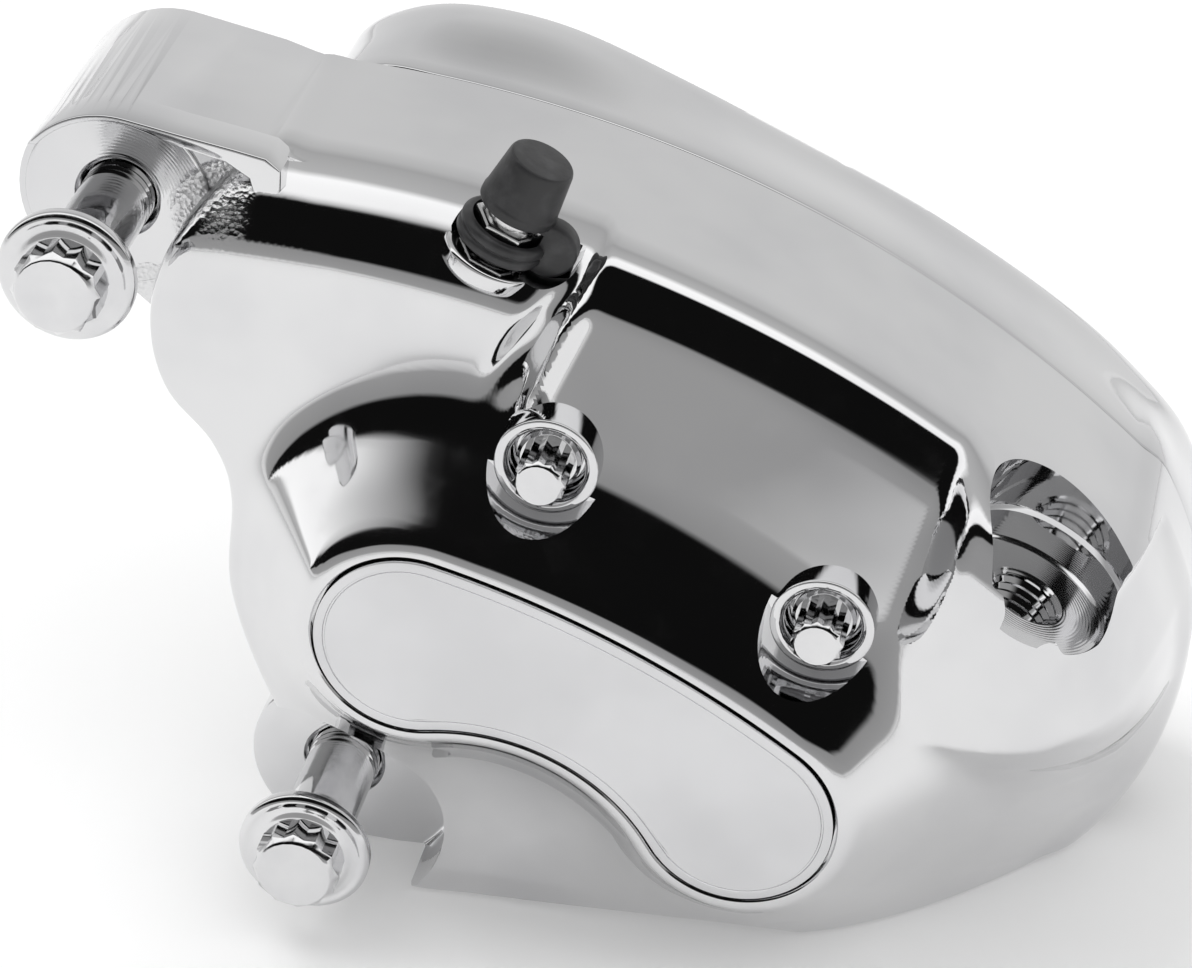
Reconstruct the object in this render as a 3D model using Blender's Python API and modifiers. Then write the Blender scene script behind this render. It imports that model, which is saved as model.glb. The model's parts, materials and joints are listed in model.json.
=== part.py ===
"""Four-piston fixed disc brake caliper, two bolted halves, standing with its disc plane upright.

World frame: metres, +Z up, +Y along the wheel axis from the outboard side to the inboard side.
Most places are given in the wheel frame instead: u along the chord, v outwards along the
caliper's own middle line, both measured from the wheel centre, and y along the wheel axis.
"""
import math

import bmesh
import bpy
from mathutils import Matrix, Vector

MM = 0.001

# Brake disc and friction parts
disc_radius = 144.5
disc_thickness = 5.0
disc_plane_y = 11.8
disc_clearance = 3.0
running_gap = 0.5
lining_thickness = 4.5
backing_thickness = 4.0
pad_half_length = 40.0
pad_inner_radius = 108.0
touch_gap = 0.3

# Hydraulics
piston_radius = 16.0
piston_length = 17.0
piston_wall = 3.0
piston_stand_out = 2.0
bore_end_room = 2.0
piston_half_spacing = 23.7
groove_wall = 2.3
seal_depth = 2.7
seal_width = 3.0
wiper_width = 2.0

# Castings
tilt_degrees = 26.0
wheel_centre_x = -50.97
wheel_centre_z = -69.3
rim_radius = 175.0
rim_front_y = -20.0
cavity_radius = 161.0
pocket_side_gap = 1.5
pocket_open_v = 60.0
face_y = -44.4
back_y = 45.6
shoulder_y = -25.5
ledge_y = -28.0
boss_foot_y = -33.0
kidney_outer_radius = 136.8
kidney_lobe_radius = 12.6
kidney_border = 2.9
plate_thickness = 2.5

# Fasteners and ports
upper_bolt = (-83.7, 144.4)
lower_bolt = (-22.0, 81.0)
ear_radius = 13.4
lower_ear_radius = 13.1
ear_face_y = -17.7
lower_ear_back_y = 0.0
fork_lug_thickness = 20.5
lug_clearance_radius = 17.0
mount_bolt_radius = 4.8
mount_flange_radius = 9.0
mount_flange_thickness = 1.8
mount_head_radius = 5.9
mount_head_height = 7.2
mount_bolt_engagement = 14.0
pin_radius = 3.0
pin_pitch_radius = 150.0
pin_spots = {"left": (-19.4, 149.1), "right": (21.3, 147.4)}
pin_boss_radius = 6.8
pin_boss_y = -34.4
pin_head_radius = 3.4
pin_head_height = 4.4
pin_well_radius = 5.0
pin_well_depth = 3.6
bridge_bolt_radius = 3.5
bridge_bolt_head_radius = 5.2
bridge_bolt_head_height = 6.0
bridge_seat_depth = 7.0
bridge_bolt_pitch_radius = 167.5
bridge_bolt_angles = (-19.5, 0.0, 18.5)
banjo_chord = 43.2
banjo_y = -22.8
banjo_face_v = 158.8
banjo_face_radius = 11.2
banjo_hole_radius = 4.8
banjo_hole_depth = 13.0
bleeder_chord = -38.0
bleeder_y = -20.5
bleeder_seat_v = 165.6
bleeder_thread_radius = 3.4
bleeder_thread_length = 13.0
bleeder_hex_radius = 4.6
bleeder_nipple_radius = 2.7
cap_radius = 5.2
cap_top_radius = 4.4
strap_lobe_radius = 3.8
strap_lobe_width = 3.0
crossover_angles = (-13.0, 12.0)
crossover_radius = 167.5
o_ring_radius = 3.4
o_ring_wire = 0.8
spring_thickness = 0.6
spring_overhang = 1.8
finger_swing = 1.4
tab_wall = 2.6
tab_swing = 3.2

# Places that follow from the sizes above
slot_radius = disc_radius + disc_clearance
lining_face = disc_thickness / 2 + running_gap
backing_face = lining_face + lining_thickness + touch_gap
piston_face = backing_face + backing_thickness + touch_gap
housing_face = piston_face + piston_stand_out
bore_end = piston_face + piston_length + bore_end_room
bore_radius = piston_radius + touch_gap
piston_pitch_radius = pin_pitch_radius - pin_radius - piston_radius - seal_depth - groove_wall
piston_v = math.sqrt(piston_pitch_radius**2 - piston_half_spacing**2)
seal_start = housing_face + 5.0
wiper_start = housing_face + 1.2
outboard, inboard = -1, 1

tilt = math.radians(tilt_degrees)
chord_axis = Vector((math.cos(tilt), 0, -math.sin(tilt)))
wheel_axis = Vector((0, 1, 0))
radial_axis = Vector((math.sin(tilt), 0, math.cos(tilt)))
wheel_centre = Vector((wheel_centre_x, 0, wheel_centre_z)) * MM


def clear_scene():
    for item in list(bpy.data.objects):
        bpy.data.objects.remove(item)


clear_scene()
scene_root = bpy.context.scene.collection
parts = bpy.data.collections.new("disc_brake_caliper")
cutters = bpy.data.collections.new("cutters")
scene_root.children.link(parts)
scene_root.children.link(cutters)
cutters.hide_render = True


def finish(name, colour, roughness, metallic):
    made = bpy.data.materials.new(name)
    made.use_nodes = True
    shader = made.node_tree.nodes["Principled BSDF"]
    shader.inputs["Base Color"].default_value = (*colour, 1.0)
    shader.inputs["Roughness"].default_value = roughness
    shader.inputs["Metallic"].default_value = metallic
    return made


def wheel_point(u, v, y):
    return wheel_centre + (chord_axis * u + wheel_axis * y + radial_axis * v) * MM


def polar(radius, degrees):
    angle = math.radians(degrees)
    return radius * math.sin(angle), radius * math.cos(angle)


def polar_v(radius, u):
    """The v of the point on a circle about the wheel axis that has this u."""
    return math.sqrt(radius**2 - u**2)


def swing_of(place):
    """The angle of a point about the wheel axis, in degrees from +v towards +u."""
    return math.degrees(math.atan2(place[0], place[1]))


def pose(u, v, y, direction):
    """Matrix that puts a shape's own +Z along a direction, with its origin at a wheel point."""
    turn = direction.to_track_quat("Z", "Y").to_matrix().to_4x4()
    return Matrix.Translation(wheel_point(u, v, y)) @ turn


def add_object(name, shape, matrix=None, material=None, collection=None):
    mesh = bpy.data.meshes.new(name)
    bmesh.ops.recalc_face_normals(shape, faces=shape.faces)
    shape.to_mesh(mesh)
    shape.free()
    made = bpy.data.objects.new(name, mesh)
    if matrix is not None:
        made.matrix_world = matrix
    if material is not None:
        mesh.materials.append(material)
    (collection or parts).objects.link(made)
    if collection is cutters:
        made.hide_render = True
        made.display_type = "WIRE"
    return made


def cylinder_mesh(radius, length, sides=32, end_radius=None):
    """A cylinder or cone that starts at the origin and runs along +Z."""
    shape = bmesh.new()
    bmesh.ops.create_cone(
        shape,
        cap_ends=True,
        segments=sides,
        radius1=radius * MM,
        radius2=(radius if end_radius is None else end_radius) * MM,
        depth=length * MM,
        matrix=Matrix.Translation((0, 0, length * MM / 2)),
    )
    return shape


def prism_mesh(outline, start_y, end_y):
    """An outline in the wheel frame, drawn out along the wheel axis, in world space."""
    shape = bmesh.new()
    base = shape.faces.new([shape.verts.new(wheel_point(u, v, start_y)) for u, v in outline])
    raised = bmesh.ops.extrude_face_region(shape, geom=[base])
    moved = [item for item in raised["geom"] if isinstance(item, bmesh.types.BMVert)]
    bmesh.ops.translate(shape, verts=moved, vec=wheel_axis * (end_y - start_y) * MM)
    return shape


def loft_mesh(sections):
    """Matching outlines in the wheel frame, one for each depth, joined into one closed shape."""
    shape = bmesh.new()
    loops = [[shape.verts.new(wheel_point(u, v, y)) for u, v in outline] for y, outline in sections]
    for near, far in zip(loops, loops[1:]):
        for i in range(len(near)):
            shape.faces.new((near[i - 1], near[i], far[i], far[i - 1]))
    caps = [shape.faces.new(loops[0]), shape.faces.new(loops[-1])]
    crease = shape.edges.layers.float.new("crease_edge")
    for edge in {edge for cap in caps for edge in cap.edges}:
        edge[crease] = 1.0
    return shape


def arc(centre, radius, start, end, steps):
    """Points round a circle, with angles in degrees from +v towards +u."""
    found = []
    for step in range(steps + 1):
        du, dv = polar(radius, start + (end - start) * step / steps)
        found.append((centre[0] + du, centre[1] + dv))
    return found


def joined(target, operation, *others):
    for other in others:
        step = target.modifiers.new(f"{operation.lower()}_{other.name}", "BOOLEAN")
        step.operation = operation
        step.object = other
        step.solver = "EXACT"


def helper(name, shape, matrix=None):
    return add_object(name, shape, matrix, collection=cutters)


def bore_along_y(name, u, v, start_y, end_y, radius, sides=32):
    return helper(name, cylinder_mesh(radius, end_y - start_y, sides), pose(u, v, start_y, wheel_axis))


def turned(name, profile, matrix, material, sides=32, collection=None):
    """A solid of revolution: (radius, height) points from the top, down the outer side."""
    closed = profile[0][0] > 0
    shape = bmesh.new()
    line = [shape.verts.new((radius * MM, 0, height * MM)) for radius, height in profile]
    for first, second in zip(line, line[1:]):
        shape.edges.new((first, second))
    if closed:
        shape.edges.new((line[-1], line[0]))
    mesh = bpy.data.meshes.new(name)
    shape.to_mesh(mesh)
    shape.free()
    made = bpy.data.objects.new(name, mesh)
    made.matrix_world = matrix
    (collection or parts).objects.link(made)
    if material is not None:
        mesh.materials.append(material)
    if collection is cutters:
        made.hide_render = True
        made.display_type = "WIRE"
    spin = made.modifiers.new("turn", "SCREW")
    spin.steps = spin.render_steps = sides
    spin.use_merge_vertices = True
    spin.merge_threshold = 0.00005
    spin.use_smooth_shade = False
    return made


def star_mesh(point_radius, length, points=12):
    """A double hexagon head, drawn along +Z."""
    valley = math.cos(math.pi / 6) / math.cos(math.pi / 12)
    shape = bmesh.new()
    corners = []
    for index in range(2 * points):
        radius = point_radius * (valley if index % 2 else 1.0)
        angle = math.pi * index / points
        place = Vector((math.cos(angle), math.sin(angle), 0)) * radius * MM
        corners.append(shape.verts.new(place))
    raised = bmesh.ops.extrude_face_region(shape, geom=[shape.faces.new(corners)])
    moved = [item for item in raised["geom"] if isinstance(item, bmesh.types.BMVert)]
    bmesh.ops.translate(shape, verts=moved, vec=(0, 0, length * MM))
    return shape


chrome = finish("chrome_plate", (0.86, 0.86, 0.87), 0.05, 1.0)
satin = finish("satin_plate", (0.80, 0.80, 0.81), 0.22, 1.0)
steel = finish("machined_steel", (0.62, 0.62, 0.63), 0.30, 1.0)
black_rubber = finish("black_rubber", (0.03, 0.03, 0.03), 0.65, 0.0)
seal_rubber = finish("seal_rubber", (0.05, 0.05, 0.05), 0.55, 0.0)
friction = finish("friction_compound", (0.16, 0.14, 0.13), 0.90, 0.0)
backing_paint = finish("backing_steel", (0.12, 0.12, 0.13), 0.50, 1.0)


def kidney_outline(border):
    """The kidney shape on the outer face, grown outwards by a border."""
    lobe = kidney_lobe_radius + border
    outer = kidney_outer_radius + border
    reach = kidney_outer_radius - kidney_lobe_radius
    swing = math.degrees(math.asin(piston_half_spacing / reach))
    left, right = polar(reach, -swing), polar(reach, swing)
    waist = kidney_outer_radius - 20.0 - border
    points = arc((0, 0), outer, -swing, swing, 8)
    points += arc(right, lobe, swing, 195.0, 8)[1:]
    points += [(right[0] * 0.42, waist - 1.6), (0.0, waist), (left[0] * 0.42, waist - 1.6)]
    points += arc(left, lobe, 165.0, 360.0 - swing, 8)[:-1]
    return points


def table_v(u, above=0.0):
    """The v at which a point of this u stands on the table, or above it."""
    rise = (above - wheel_centre_z) + u * math.sin(tilt)
    return rise / math.cos(tilt)


def make_outer_body():
    """Outboard half: kidney boss, facet, rim and bridge in one loft, with the ears joined on."""
    rim = [polar(rim_radius, angle) for angle in (-24, -18.5, -13, -8, -2.7, 2.7, 8, 14, 19.5)]
    top = kidney_outer_radius + kidney_border
    lobe_v = top - 15.2
    face = [(-37.6, lobe_v + 8.2), (-34.6, lobe_v + 12.2)]
    face += [polar(top, angle) for angle in (-11.5, -8, -3, 3, 8, 12)]
    face += [(36.0, lobe_v + 9.2), (37.8, lobe_v + 2.5), (37.2, lobe_v - 6.0)]
    face += [(32.0, lobe_v - 12.8), (23.5, lobe_v - 15.1), (10.5, lobe_v - 11.0)]
    face += [(0.0, lobe_v - 9.4), (-12.0, lobe_v - 11.2), (-24.0, lobe_v - 15.1)]
    face += [(-34.0, lobe_v - 12.0), (-38.2, lobe_v - 4.5), (-39.4, lobe_v + 1.0)]
    face += [(-39.1, lobe_v + 4.8)]
    rounded = [(u * 1.035, lobe_v + (v - lobe_v) * 1.09) for u, v in face]
    foot = [(-44.0, 133.0), (-40.5, 141.0), (-32.0, 145.0), (-20.0, 146.8), (-7.5, 147.8)]
    foot += [(7.5, 148.0), (21.0, 147.5), (36.0, 152.0), (45.5, 148.0), (46.5, 131.0)]
    foot += [(44.0, 115.0), (38.5, 102.0), (29.0, 97.0), (12.0, 94.5), (0.0, 92.5)]
    foot += [(-14.0, 100.0), (-27.0, 104.0), (-40.0, 108.0), (-45.0, 119.0), (-46.0, 126.0)]
    foot += [(-45.5, 130.0)]
    ledge = [(-53.0, 143.0), (-46.0, 151.0), (-35.0, 156.0), (-24.5, 159.5), (-8.5, 161.0)]
    ledge += [(8.5, 161.2), (24.0, 160.5), (39.0, 161.5), (51.0, 154.5), (51.0, 136.0)]
    ledge += [(47.5, 117.0), (39.5, table_v(39.5, 1.0)), (26.0, table_v(26)), (9.0, table_v(9, 3))]
    ledge += [(-3.0, table_v(-3, 4)), (-16.0, 92.0), (-31.0, 100.0), (-44.5, 109.0)]
    ledge += [(-49.5, 120.0), (-56.0, 128.5), (-58.0, 136.0)]
    shoulder = [(-71.0, 154.5), (-55.0, 160.0), (-39.5, 163.8), (-26.0, 167.0), (-9.0, 169.0)]
    shoulder += [(9.0, 169.0), (25.5, 167.6), (42.5, 165.0), (54.5, 157.5), (54.0, 140.0)]
    shoulder += [(50.5, 119.0), (43.0, table_v(43)), (25.0, table_v(25)), (9.0, table_v(9))]
    shoulder += [(-6.0, table_v(-6)), (-16.0, 88.0), (-32.0, 97.0), (-46.0, 108.0)]
    shoulder += [(-51.5, 120.5), (-67.5, 127.5), (-71.5, 140.0)]
    edge = rim[:-1] + [(58.0, 161.5), (60.5, 145.0), (54.5, 120.0), (49.5, table_v(49.5))]
    edge += [(28.0, table_v(28)), (10.0, table_v(10)), (-6.5, table_v(-6.5)), (-20.0, 82.0)]
    edge += [(-35.0, 93.0), (-48.0, 107.0), (-53.0, 120.0), (-69.0, 126.5), (-74.0, 141.0)]
    middle = rim + [(68.5, 147.0), (69.5, 123.0), (61.0, table_v(61)), (32.0, table_v(32))]
    middle += edge[13:]
    inner = rim + [(72.5, 144.0), (76.5, 127.0), (69.5, table_v(69.5, 1)), (34.0, table_v(34))]
    inner += edge[13:]
    sections = [
        (face_y, face),
        (face_y + 1.6, rounded),
        (boss_foot_y, foot),
        (ledge_y, ledge),
        (shoulder_y, shoulder),
        (rim_front_y, edge),
        (-5.0, middle),
        (disc_plane_y - disc_thickness, inner),
        (disc_plane_y, inner),
    ]
    body = add_object("outer_body", loft_mesh(sections), material=chrome)
    smooth = body.modifiers.new("smooth", "SUBSURF")
    smooth.levels = smooth.render_levels = 1

    upper = cylinder_mesh(ear_radius, disc_plane_y - ear_face_y, 40)
    upper = helper("upper_ear", upper, pose(*upper_bolt, ear_face_y, wheel_axis))
    lower = cylinder_mesh(lower_ear_radius, lower_ear_back_y - ear_face_y, 40)
    lower = helper("lower_ear", lower, pose(*lower_bolt, ear_face_y, wheel_axis))
    start = (upper_bolt[0] - 3.6, upper_bolt[1] + ear_radius - 0.6)
    web = [start, polar(rim_radius + 0.6, -22.0), (-62.0, 150.0), (-67.0, 128.5)]
    web += [(upper_bolt[0] + 8.0, upper_bolt[1] - ear_radius + 2.9)]
    web = helper("upper_web", prism_mesh(web, ear_face_y, disc_plane_y))
    foot_u, foot_v = lower_bolt[0] + 1.0, lower_bolt[1] - lower_ear_radius + 0.6
    link = [(foot_u, foot_v), (6.0, table_v(6.0, 0.4)), (6.0, 104.0), (-40.0, 112.0)]
    link += [(lower_bolt[0] - lower_ear_radius + 1.0, lower_bolt[1] + 2.0)]
    link = helper("lower_web", prism_mesh(link, ear_face_y, lower_ear_back_y))
    joined(body, "UNION", upper, web, lower, link)
    for end, (u, v) in pin_spots.items():
        boss = cylinder_mesh(pin_boss_radius, shoulder_y - pin_boss_y, 32)
        joined(body, "UNION", helper(f"pin_boss_{end}", boss, pose(u, v, pin_boss_y, wheel_axis)))

    cut_fork_lugs(body)
    cut_disc_space(body, outboard)
    cut_bores(body, outboard)
    cut_outer_ports(body)
    return body


def cut_fork_lugs(body):
    """Clears the fork lugs in front of both ears, and drills the ears."""
    lug = bore_along_y("lower_lug_space", *lower_bolt, face_y - 20, ear_face_y,
                       lug_clearance_radius, 48)
    joined(body, "DIFFERENCE", lug)
    for name, place in (("upper", upper_bolt), ("lower", lower_bolt)):
        hole = bore_along_y(f"{name}_mount_hole", *place, face_y, disc_plane_y + 20,
                            mount_bolt_radius + touch_gap, 24)
        joined(body, "DIFFERENCE", hole)


def cut_disc_space(body, side):
    """The slot that the disc turns in, and the pocket that holds the pads."""
    name = "outer" if side < 0 else "inner"
    near = disc_plane_y + side * (disc_thickness / 2 + disc_clearance - 0.5)
    far = disc_plane_y - side * 5.0
    slot = cylinder_mesh(slot_radius, abs(far - near), 72)
    slot = helper(f"{name}_disc_slot", slot, pose(0, 0, min(near, far), wheel_axis))
    reach = pad_half_length + pocket_side_gap
    swing = math.degrees(math.asin(reach / cavity_radius))
    outline = [(-reach, pocket_open_v)] + arc((0, 0), cavity_radius, -swing, swing, 10)
    outline += [(reach, pocket_open_v)]
    floor = disc_plane_y + side * housing_face
    pocket = helper(f"{name}_pad_pocket", prism_mesh(outline, min(floor, far), max(floor, far)))
    joined(body, "DIFFERENCE", slot, pocket)


def cut_bores(body, side):
    """Two stepped piston bores, with a groove for the seal and one for the wiper."""
    for hand in (-1, 1):
        name = f"{'outer' if side < 0 else 'inner'}_bore_{'left' if hand < 0 else 'right'}"
        groove = bore_radius + seal_depth
        steps = [(0, -3), (bore_radius, -3), (bore_radius, wiper_start - housing_face)]
        for start, width in ((wiper_start, wiper_width), (seal_start, seal_width)):
            near = start - housing_face
            steps += [(groove, near), (groove, near + width + 2 * touch_gap)]
            steps += [(bore_radius, near + width + 2 * touch_gap)]
            if start == wiper_start:
                steps += [(bore_radius, seal_start - housing_face)]
        steps += [(bore_radius, bore_end - housing_face), (0, bore_end - housing_face)]
        floor = disc_plane_y + side * housing_face
        place = pose(hand * piston_half_spacing, piston_v, floor, wheel_axis * side)
        profile = steps[::-1]
        joined(body, "DIFFERENCE", turned(name, profile, place, None, 32, cutters))


def cut_outer_ports(body):
    """Plate recess, pin wells, banjo port, bleeder port, bridge bolt and crossover holes."""
    recess = helper("plate_recess", prism_mesh(kidney_outline(0.5), face_y - 5,
                                               face_y + plate_thickness + touch_gap))
    joined(body, "DIFFERENCE", recess)
    for end, (u, v) in pin_spots.items():
        well = bore_along_y(f"pin_well_{end}", u, v, face_y, pin_boss_y + pin_well_depth,
                            pin_well_radius, 24)
        hole = bore_along_y(f"pin_hole_{end}", u, v, face_y, disc_plane_y,
                            pin_radius + touch_gap, 20)
        joined(body, "DIFFERENCE", well, hole)
    banjo = cylinder_mesh(banjo_face_radius, 20, 40)
    banjo = helper("banjo_spot_face", banjo, pose(banjo_chord, banjo_face_v, banjo_y, radial_axis))
    drill = cylinder_mesh(banjo_hole_radius, banjo_hole_depth + 5, 24)
    drill = helper("banjo_hole", drill, pose(banjo_chord, banjo_face_v - banjo_hole_depth,
                                             banjo_y, radial_axis))
    seat = cylinder_mesh(bleeder_hex_radius + 1.6, 20, 32)
    seat = helper("bleeder_seat", seat, pose(bleeder_chord, bleeder_seat_v, bleeder_y, radial_axis))
    tap = cylinder_mesh(bleeder_thread_radius + touch_gap, bleeder_thread_length + 1.5, 20)
    tap = helper("bleeder_hole", tap, pose(bleeder_chord, bleeder_seat_v - bleeder_thread_length - 0.5,
                                           bleeder_y, radial_axis))
    lobe = cylinder_mesh(strap_lobe_radius + 0.6, strap_lobe_width + 20.0, 28)
    spot = pose(bleeder_chord + bleeder_hex_radius + 1.4, bleeder_seat_v + 4.2,
                bleeder_y - strap_lobe_width / 2 - 20.0 + 0.6, wheel_axis)
    room = helper("cap_strap_room", lobe, spot)
    joined(body, "DIFFERENCE", banjo, drill, seat, tap, room)
    for index, angle in enumerate(bridge_bolt_angles):
        u, v = polar(bridge_bolt_pitch_radius, angle)
        hole = bore_along_y(f"outer_bridge_hole_{index + 1}", u, v, disc_plane_y - 19,
                            disc_plane_y + 5, bridge_bolt_radius + touch_gap, 20)
        joined(body, "DIFFERENCE", hole)
    for index, angle in enumerate(crossover_angles):
        u, v = polar(crossover_radius, angle)
        well = bore_along_y(f"o_ring_well_{index + 1}", u, v, disc_plane_y - 2 * o_ring_wire,
                            disc_plane_y + 5, o_ring_radius + o_ring_wire + touch_gap, 24)
        joined(body, "DIFFERENCE", well)


def make_inner_body():
    """Inboard half: bridge, rounded rim and two cylinder housings, bolted on at the parting."""
    start = disc_plane_y + touch_gap
    rim = [polar(rim_radius, angle) for angle in (-21.5, -16, -11, -5.5, 0, 5.5, 11, 16, 20)]
    right = [(69.5, 150.0), (75.5, 130.0), (76.5, table_v(76.5)), (64.0, table_v(64.0))]
    under = [(50.0, 108.0), (36.0, 104.5), (16.0, 103.0), (0.0, 104.0), (-16.0, 103.0)]
    under += [(-36.0, 104.5), (-48.0, 116.0), (-60.0, 134.0), (-66.5, 152.0)]
    full = rim + right + under
    eased = [(u * 0.985, v - 3.5 if v > 150 else v) for u, v in full]
    housing = [polar(154, angle) for angle in (-17, -13.5, -9.5, -5, 0, 5, 9.5, 13.5, 17)]
    housing += [(50.0, 138.0), (50.5, 128.0), (49.0, 118.0), (46.0, 111.0)]
    housing += [(40.0, 106.5), (31.0, 104.5), (15.0, 105.0), (0.0, 107.0), (-15.0, 105.0)]
    housing += [(-31.0, 104.5), (-42.0, 108.0), (-49.0, 120.0), (-49.5, 137.0)]
    closed = [(u * 0.94, 127.0 + (v - 127.0) * 0.90) for u, v in housing]
    sections = [
        (start, full),
        (start + 16.0, full),
        (start + 21.0, eased),
        (start + 26.0, housing),
        (back_y - 2.5, housing),
        (back_y, closed),
    ]
    body = add_object("inner_body", loft_mesh(sections), material=chrome)
    smooth = body.modifiers.new("smooth", "SUBSURF")
    smooth.levels = smooth.render_levels = 1
    cut_disc_space(body, inboard)
    cut_bores(body, inboard)
    for end, (u, v) in pin_spots.items():
        hole = bore_along_y(f"inner_pin_hole_{end}", u, v, disc_plane_y - 5,
                            disc_plane_y + seal_start - touch_gap, pin_radius + touch_gap, 20)
        joined(body, "DIFFERENCE", hole)
    for index, angle in enumerate(bridge_bolt_angles):
        u, v = polar(bridge_bolt_pitch_radius, angle)
        hole = bore_along_y(f"inner_bridge_hole_{index + 1}", u, v, disc_plane_y - 5, back_y,
                            bridge_bolt_radius + touch_gap, 20)
        well = bore_along_y(f"bridge_head_well_{index + 1}", u, v, disc_plane_y + bridge_seat_depth,
                            back_y + 5, bridge_bolt_head_radius + 0.4, 24)
        joined(body, "DIFFERENCE", hole, well)
    return body


def make_inset_plate():
    start = face_y - 0.2
    outline = kidney_outline(0.5 - 0.35)
    add_object("inset_plate", prism_mesh(outline, start, face_y + plate_thickness), material=chrome)


def make_pistons():
    """Cup pistons with their open ends against the pads, and the rings that seal them."""
    cup = [(0, 0), (piston_radius, 0), (piston_radius, -piston_length)]
    cup += [(piston_radius - piston_wall, -piston_length), (piston_radius - piston_wall, -4.0)]
    cup += [(0, -4.0)]
    for side, half in ((outboard, "outer"), (inboard, "inner")):
        for hand, end in ((-1, "left"), (1, "right")):
            u = hand * piston_half_spacing
            back = disc_plane_y + side * (piston_face + piston_length)
            place = pose(u, piston_v, back, wheel_axis * side)
            turned(f"{half}_piston_{end}", cup, place, steel, 32)
            for name, start, width in (("seal", seal_start, seal_width),
                                       ("wiper", wiper_start, wiper_width)):
                inner, outer = bore_radius, bore_radius + seal_depth - touch_gap
                ring = [(inner, width), (outer, width), (outer, 0), (inner, 0)]
                level = disc_plane_y + side * (start + touch_gap)
                place = pose(u, piston_v, level, wheel_axis * side)
                turned(f"{half}_{name}_{end}", ring, place, seal_rubber, 32)


def pad_outline(inset, tabs):
    """The pad's face: concentric with the disc, with or without the tabs that hang on the pins."""
    reach = pad_half_length - inset
    top = disc_radius - inset
    swing = math.degrees(math.asin(reach / top)) - 1.5
    low_swing = math.degrees(math.asin((reach - 6.0) / pad_inner_radius))
    side_v = polar_v(pad_inner_radius, reach) + 12.0
    points = [(-reach, side_v), polar(top, -swing)]
    for place in pin_spots.values():
        angle = swing_of(place)
        if tabs:
            points += [polar(top, angle - tab_swing)]
            points += arc(place, pin_radius + tab_wall, -100, 100, 8)
            points += [polar(top, angle + tab_swing)]
        else:
            points += [polar(top, angle)]
    points += [polar(top, swing), (reach, side_v)]
    points += arc((0, 0), pad_inner_radius + inset, low_swing, -low_swing, 8)
    return points


def make_pads():
    for side, half in ((outboard, "outer"), (inboard, "inner")):
        near = disc_plane_y + side * lining_face
        far = near + side * lining_thickness
        lining = prism_mesh(pad_outline(1.5, False), min(near, far), max(near, far))
        add_object(f"{half}_pad_lining", lining, material=friction)
        near = disc_plane_y + side * backing_face
        far = near + side * backing_thickness
        backing = prism_mesh(pad_outline(0.0, True), min(near, far), max(near, far))
        backing = add_object(f"{half}_pad_backing", backing, material=backing_paint)
        for end, (u, v) in pin_spots.items():
            hole = bore_along_y(f"{half}_tab_hole_{end}", u, v, min(near, far) - 2,
                                max(near, far) + 2, pin_radius + touch_gap, 20)
            joined(backing, "DIFFERENCE", hole)


def make_spring():
    """Sheet spring between the bridge and the pads' tabs, which stops the pads rattling."""
    inner = pin_pitch_radius + pin_radius + tab_wall + 2 * touch_gap
    outer = inner + spring_thickness
    first, last = (swing_of(place) for place in pin_spots.values())
    first -= spring_overhang
    last += spring_overhang
    strip = arc((0, 0), outer, first, last, 12) + arc((0, 0), inner, last, first, 12)
    strip = prism_mesh(strip, disc_plane_y - lining_face, disc_plane_y + lining_face)
    spring = add_object("anti_rattle_spring", strip, material=steel)
    reach = piston_face - 0.5
    for end, place in pin_spots.items():
        low, high = swing_of(place) - finger_swing, swing_of(place) + finger_swing
        finger = arc((0, 0), outer, low, high, 3) + arc((0, 0), inner, high, low, 3)
        finger = prism_mesh(finger, disc_plane_y - reach, disc_plane_y + reach)
        joined(spring, "UNION", helper(f"spring_finger_{end}", finger))


def make_pad_pins():
    """Twelve-point headed pins that run from the outer face, over the disc, to the inner half."""
    head_y = pin_boss_y + pin_well_depth - touch_gap
    length = disc_plane_y + seal_start - 4 * touch_gap - head_y
    for end, (u, v) in pin_spots.items():
        rise = pin_well_depth + pin_head_height
        head = star_mesh(pin_head_radius, rise)
        place = pose(u, v, head_y, -wheel_axis)
        head = helper(f"pin_head_{end}", head, place)
        shank = [(0, 1.2), (pin_head_radius + 0.8, 1.2), (pin_head_radius + 0.8, 0)]
        shank += [(pin_radius, 0), (pin_radius, -length + 0.8), (pin_radius - 0.8, -length)]
        shank += [(0, -length)]
        joined(turned(f"pad_pin_{end}", shank, place, chrome, 20), "UNION", head)


def make_bridge_bolts():
    """Socket bolts that clamp the halves together from the inboard side."""
    for index, angle in enumerate(bridge_bolt_angles):
        u, v = polar(bridge_bolt_pitch_radius, angle)
        seat = disc_plane_y + bridge_seat_depth + touch_gap
        place = pose(u, v, seat, wheel_axis)
        grip = seat - (disc_plane_y - 17.0)
        head = [(0, bridge_bolt_head_height), (bridge_bolt_head_radius - 0.6, bridge_bolt_head_height)]
        head += [(bridge_bolt_head_radius, bridge_bolt_head_height - 0.6)]
        head += [(bridge_bolt_head_radius, 0), (bridge_bolt_radius, 0)]
        head += [(bridge_bolt_radius, -grip + 0.8), (bridge_bolt_radius - 0.8, -grip), (0, -grip)]
        bolt = turned(f"bridge_bolt_{index + 1}", head, place, satin, 28)
        socket = cylinder_mesh(3.4, 6, 6)
        lifted = pose(u, v, seat + bridge_bolt_head_height - 3.6, wheel_axis)
        joined(bolt, "DIFFERENCE", helper(f"bridge_socket_{index + 1}", socket, lifted))


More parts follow.
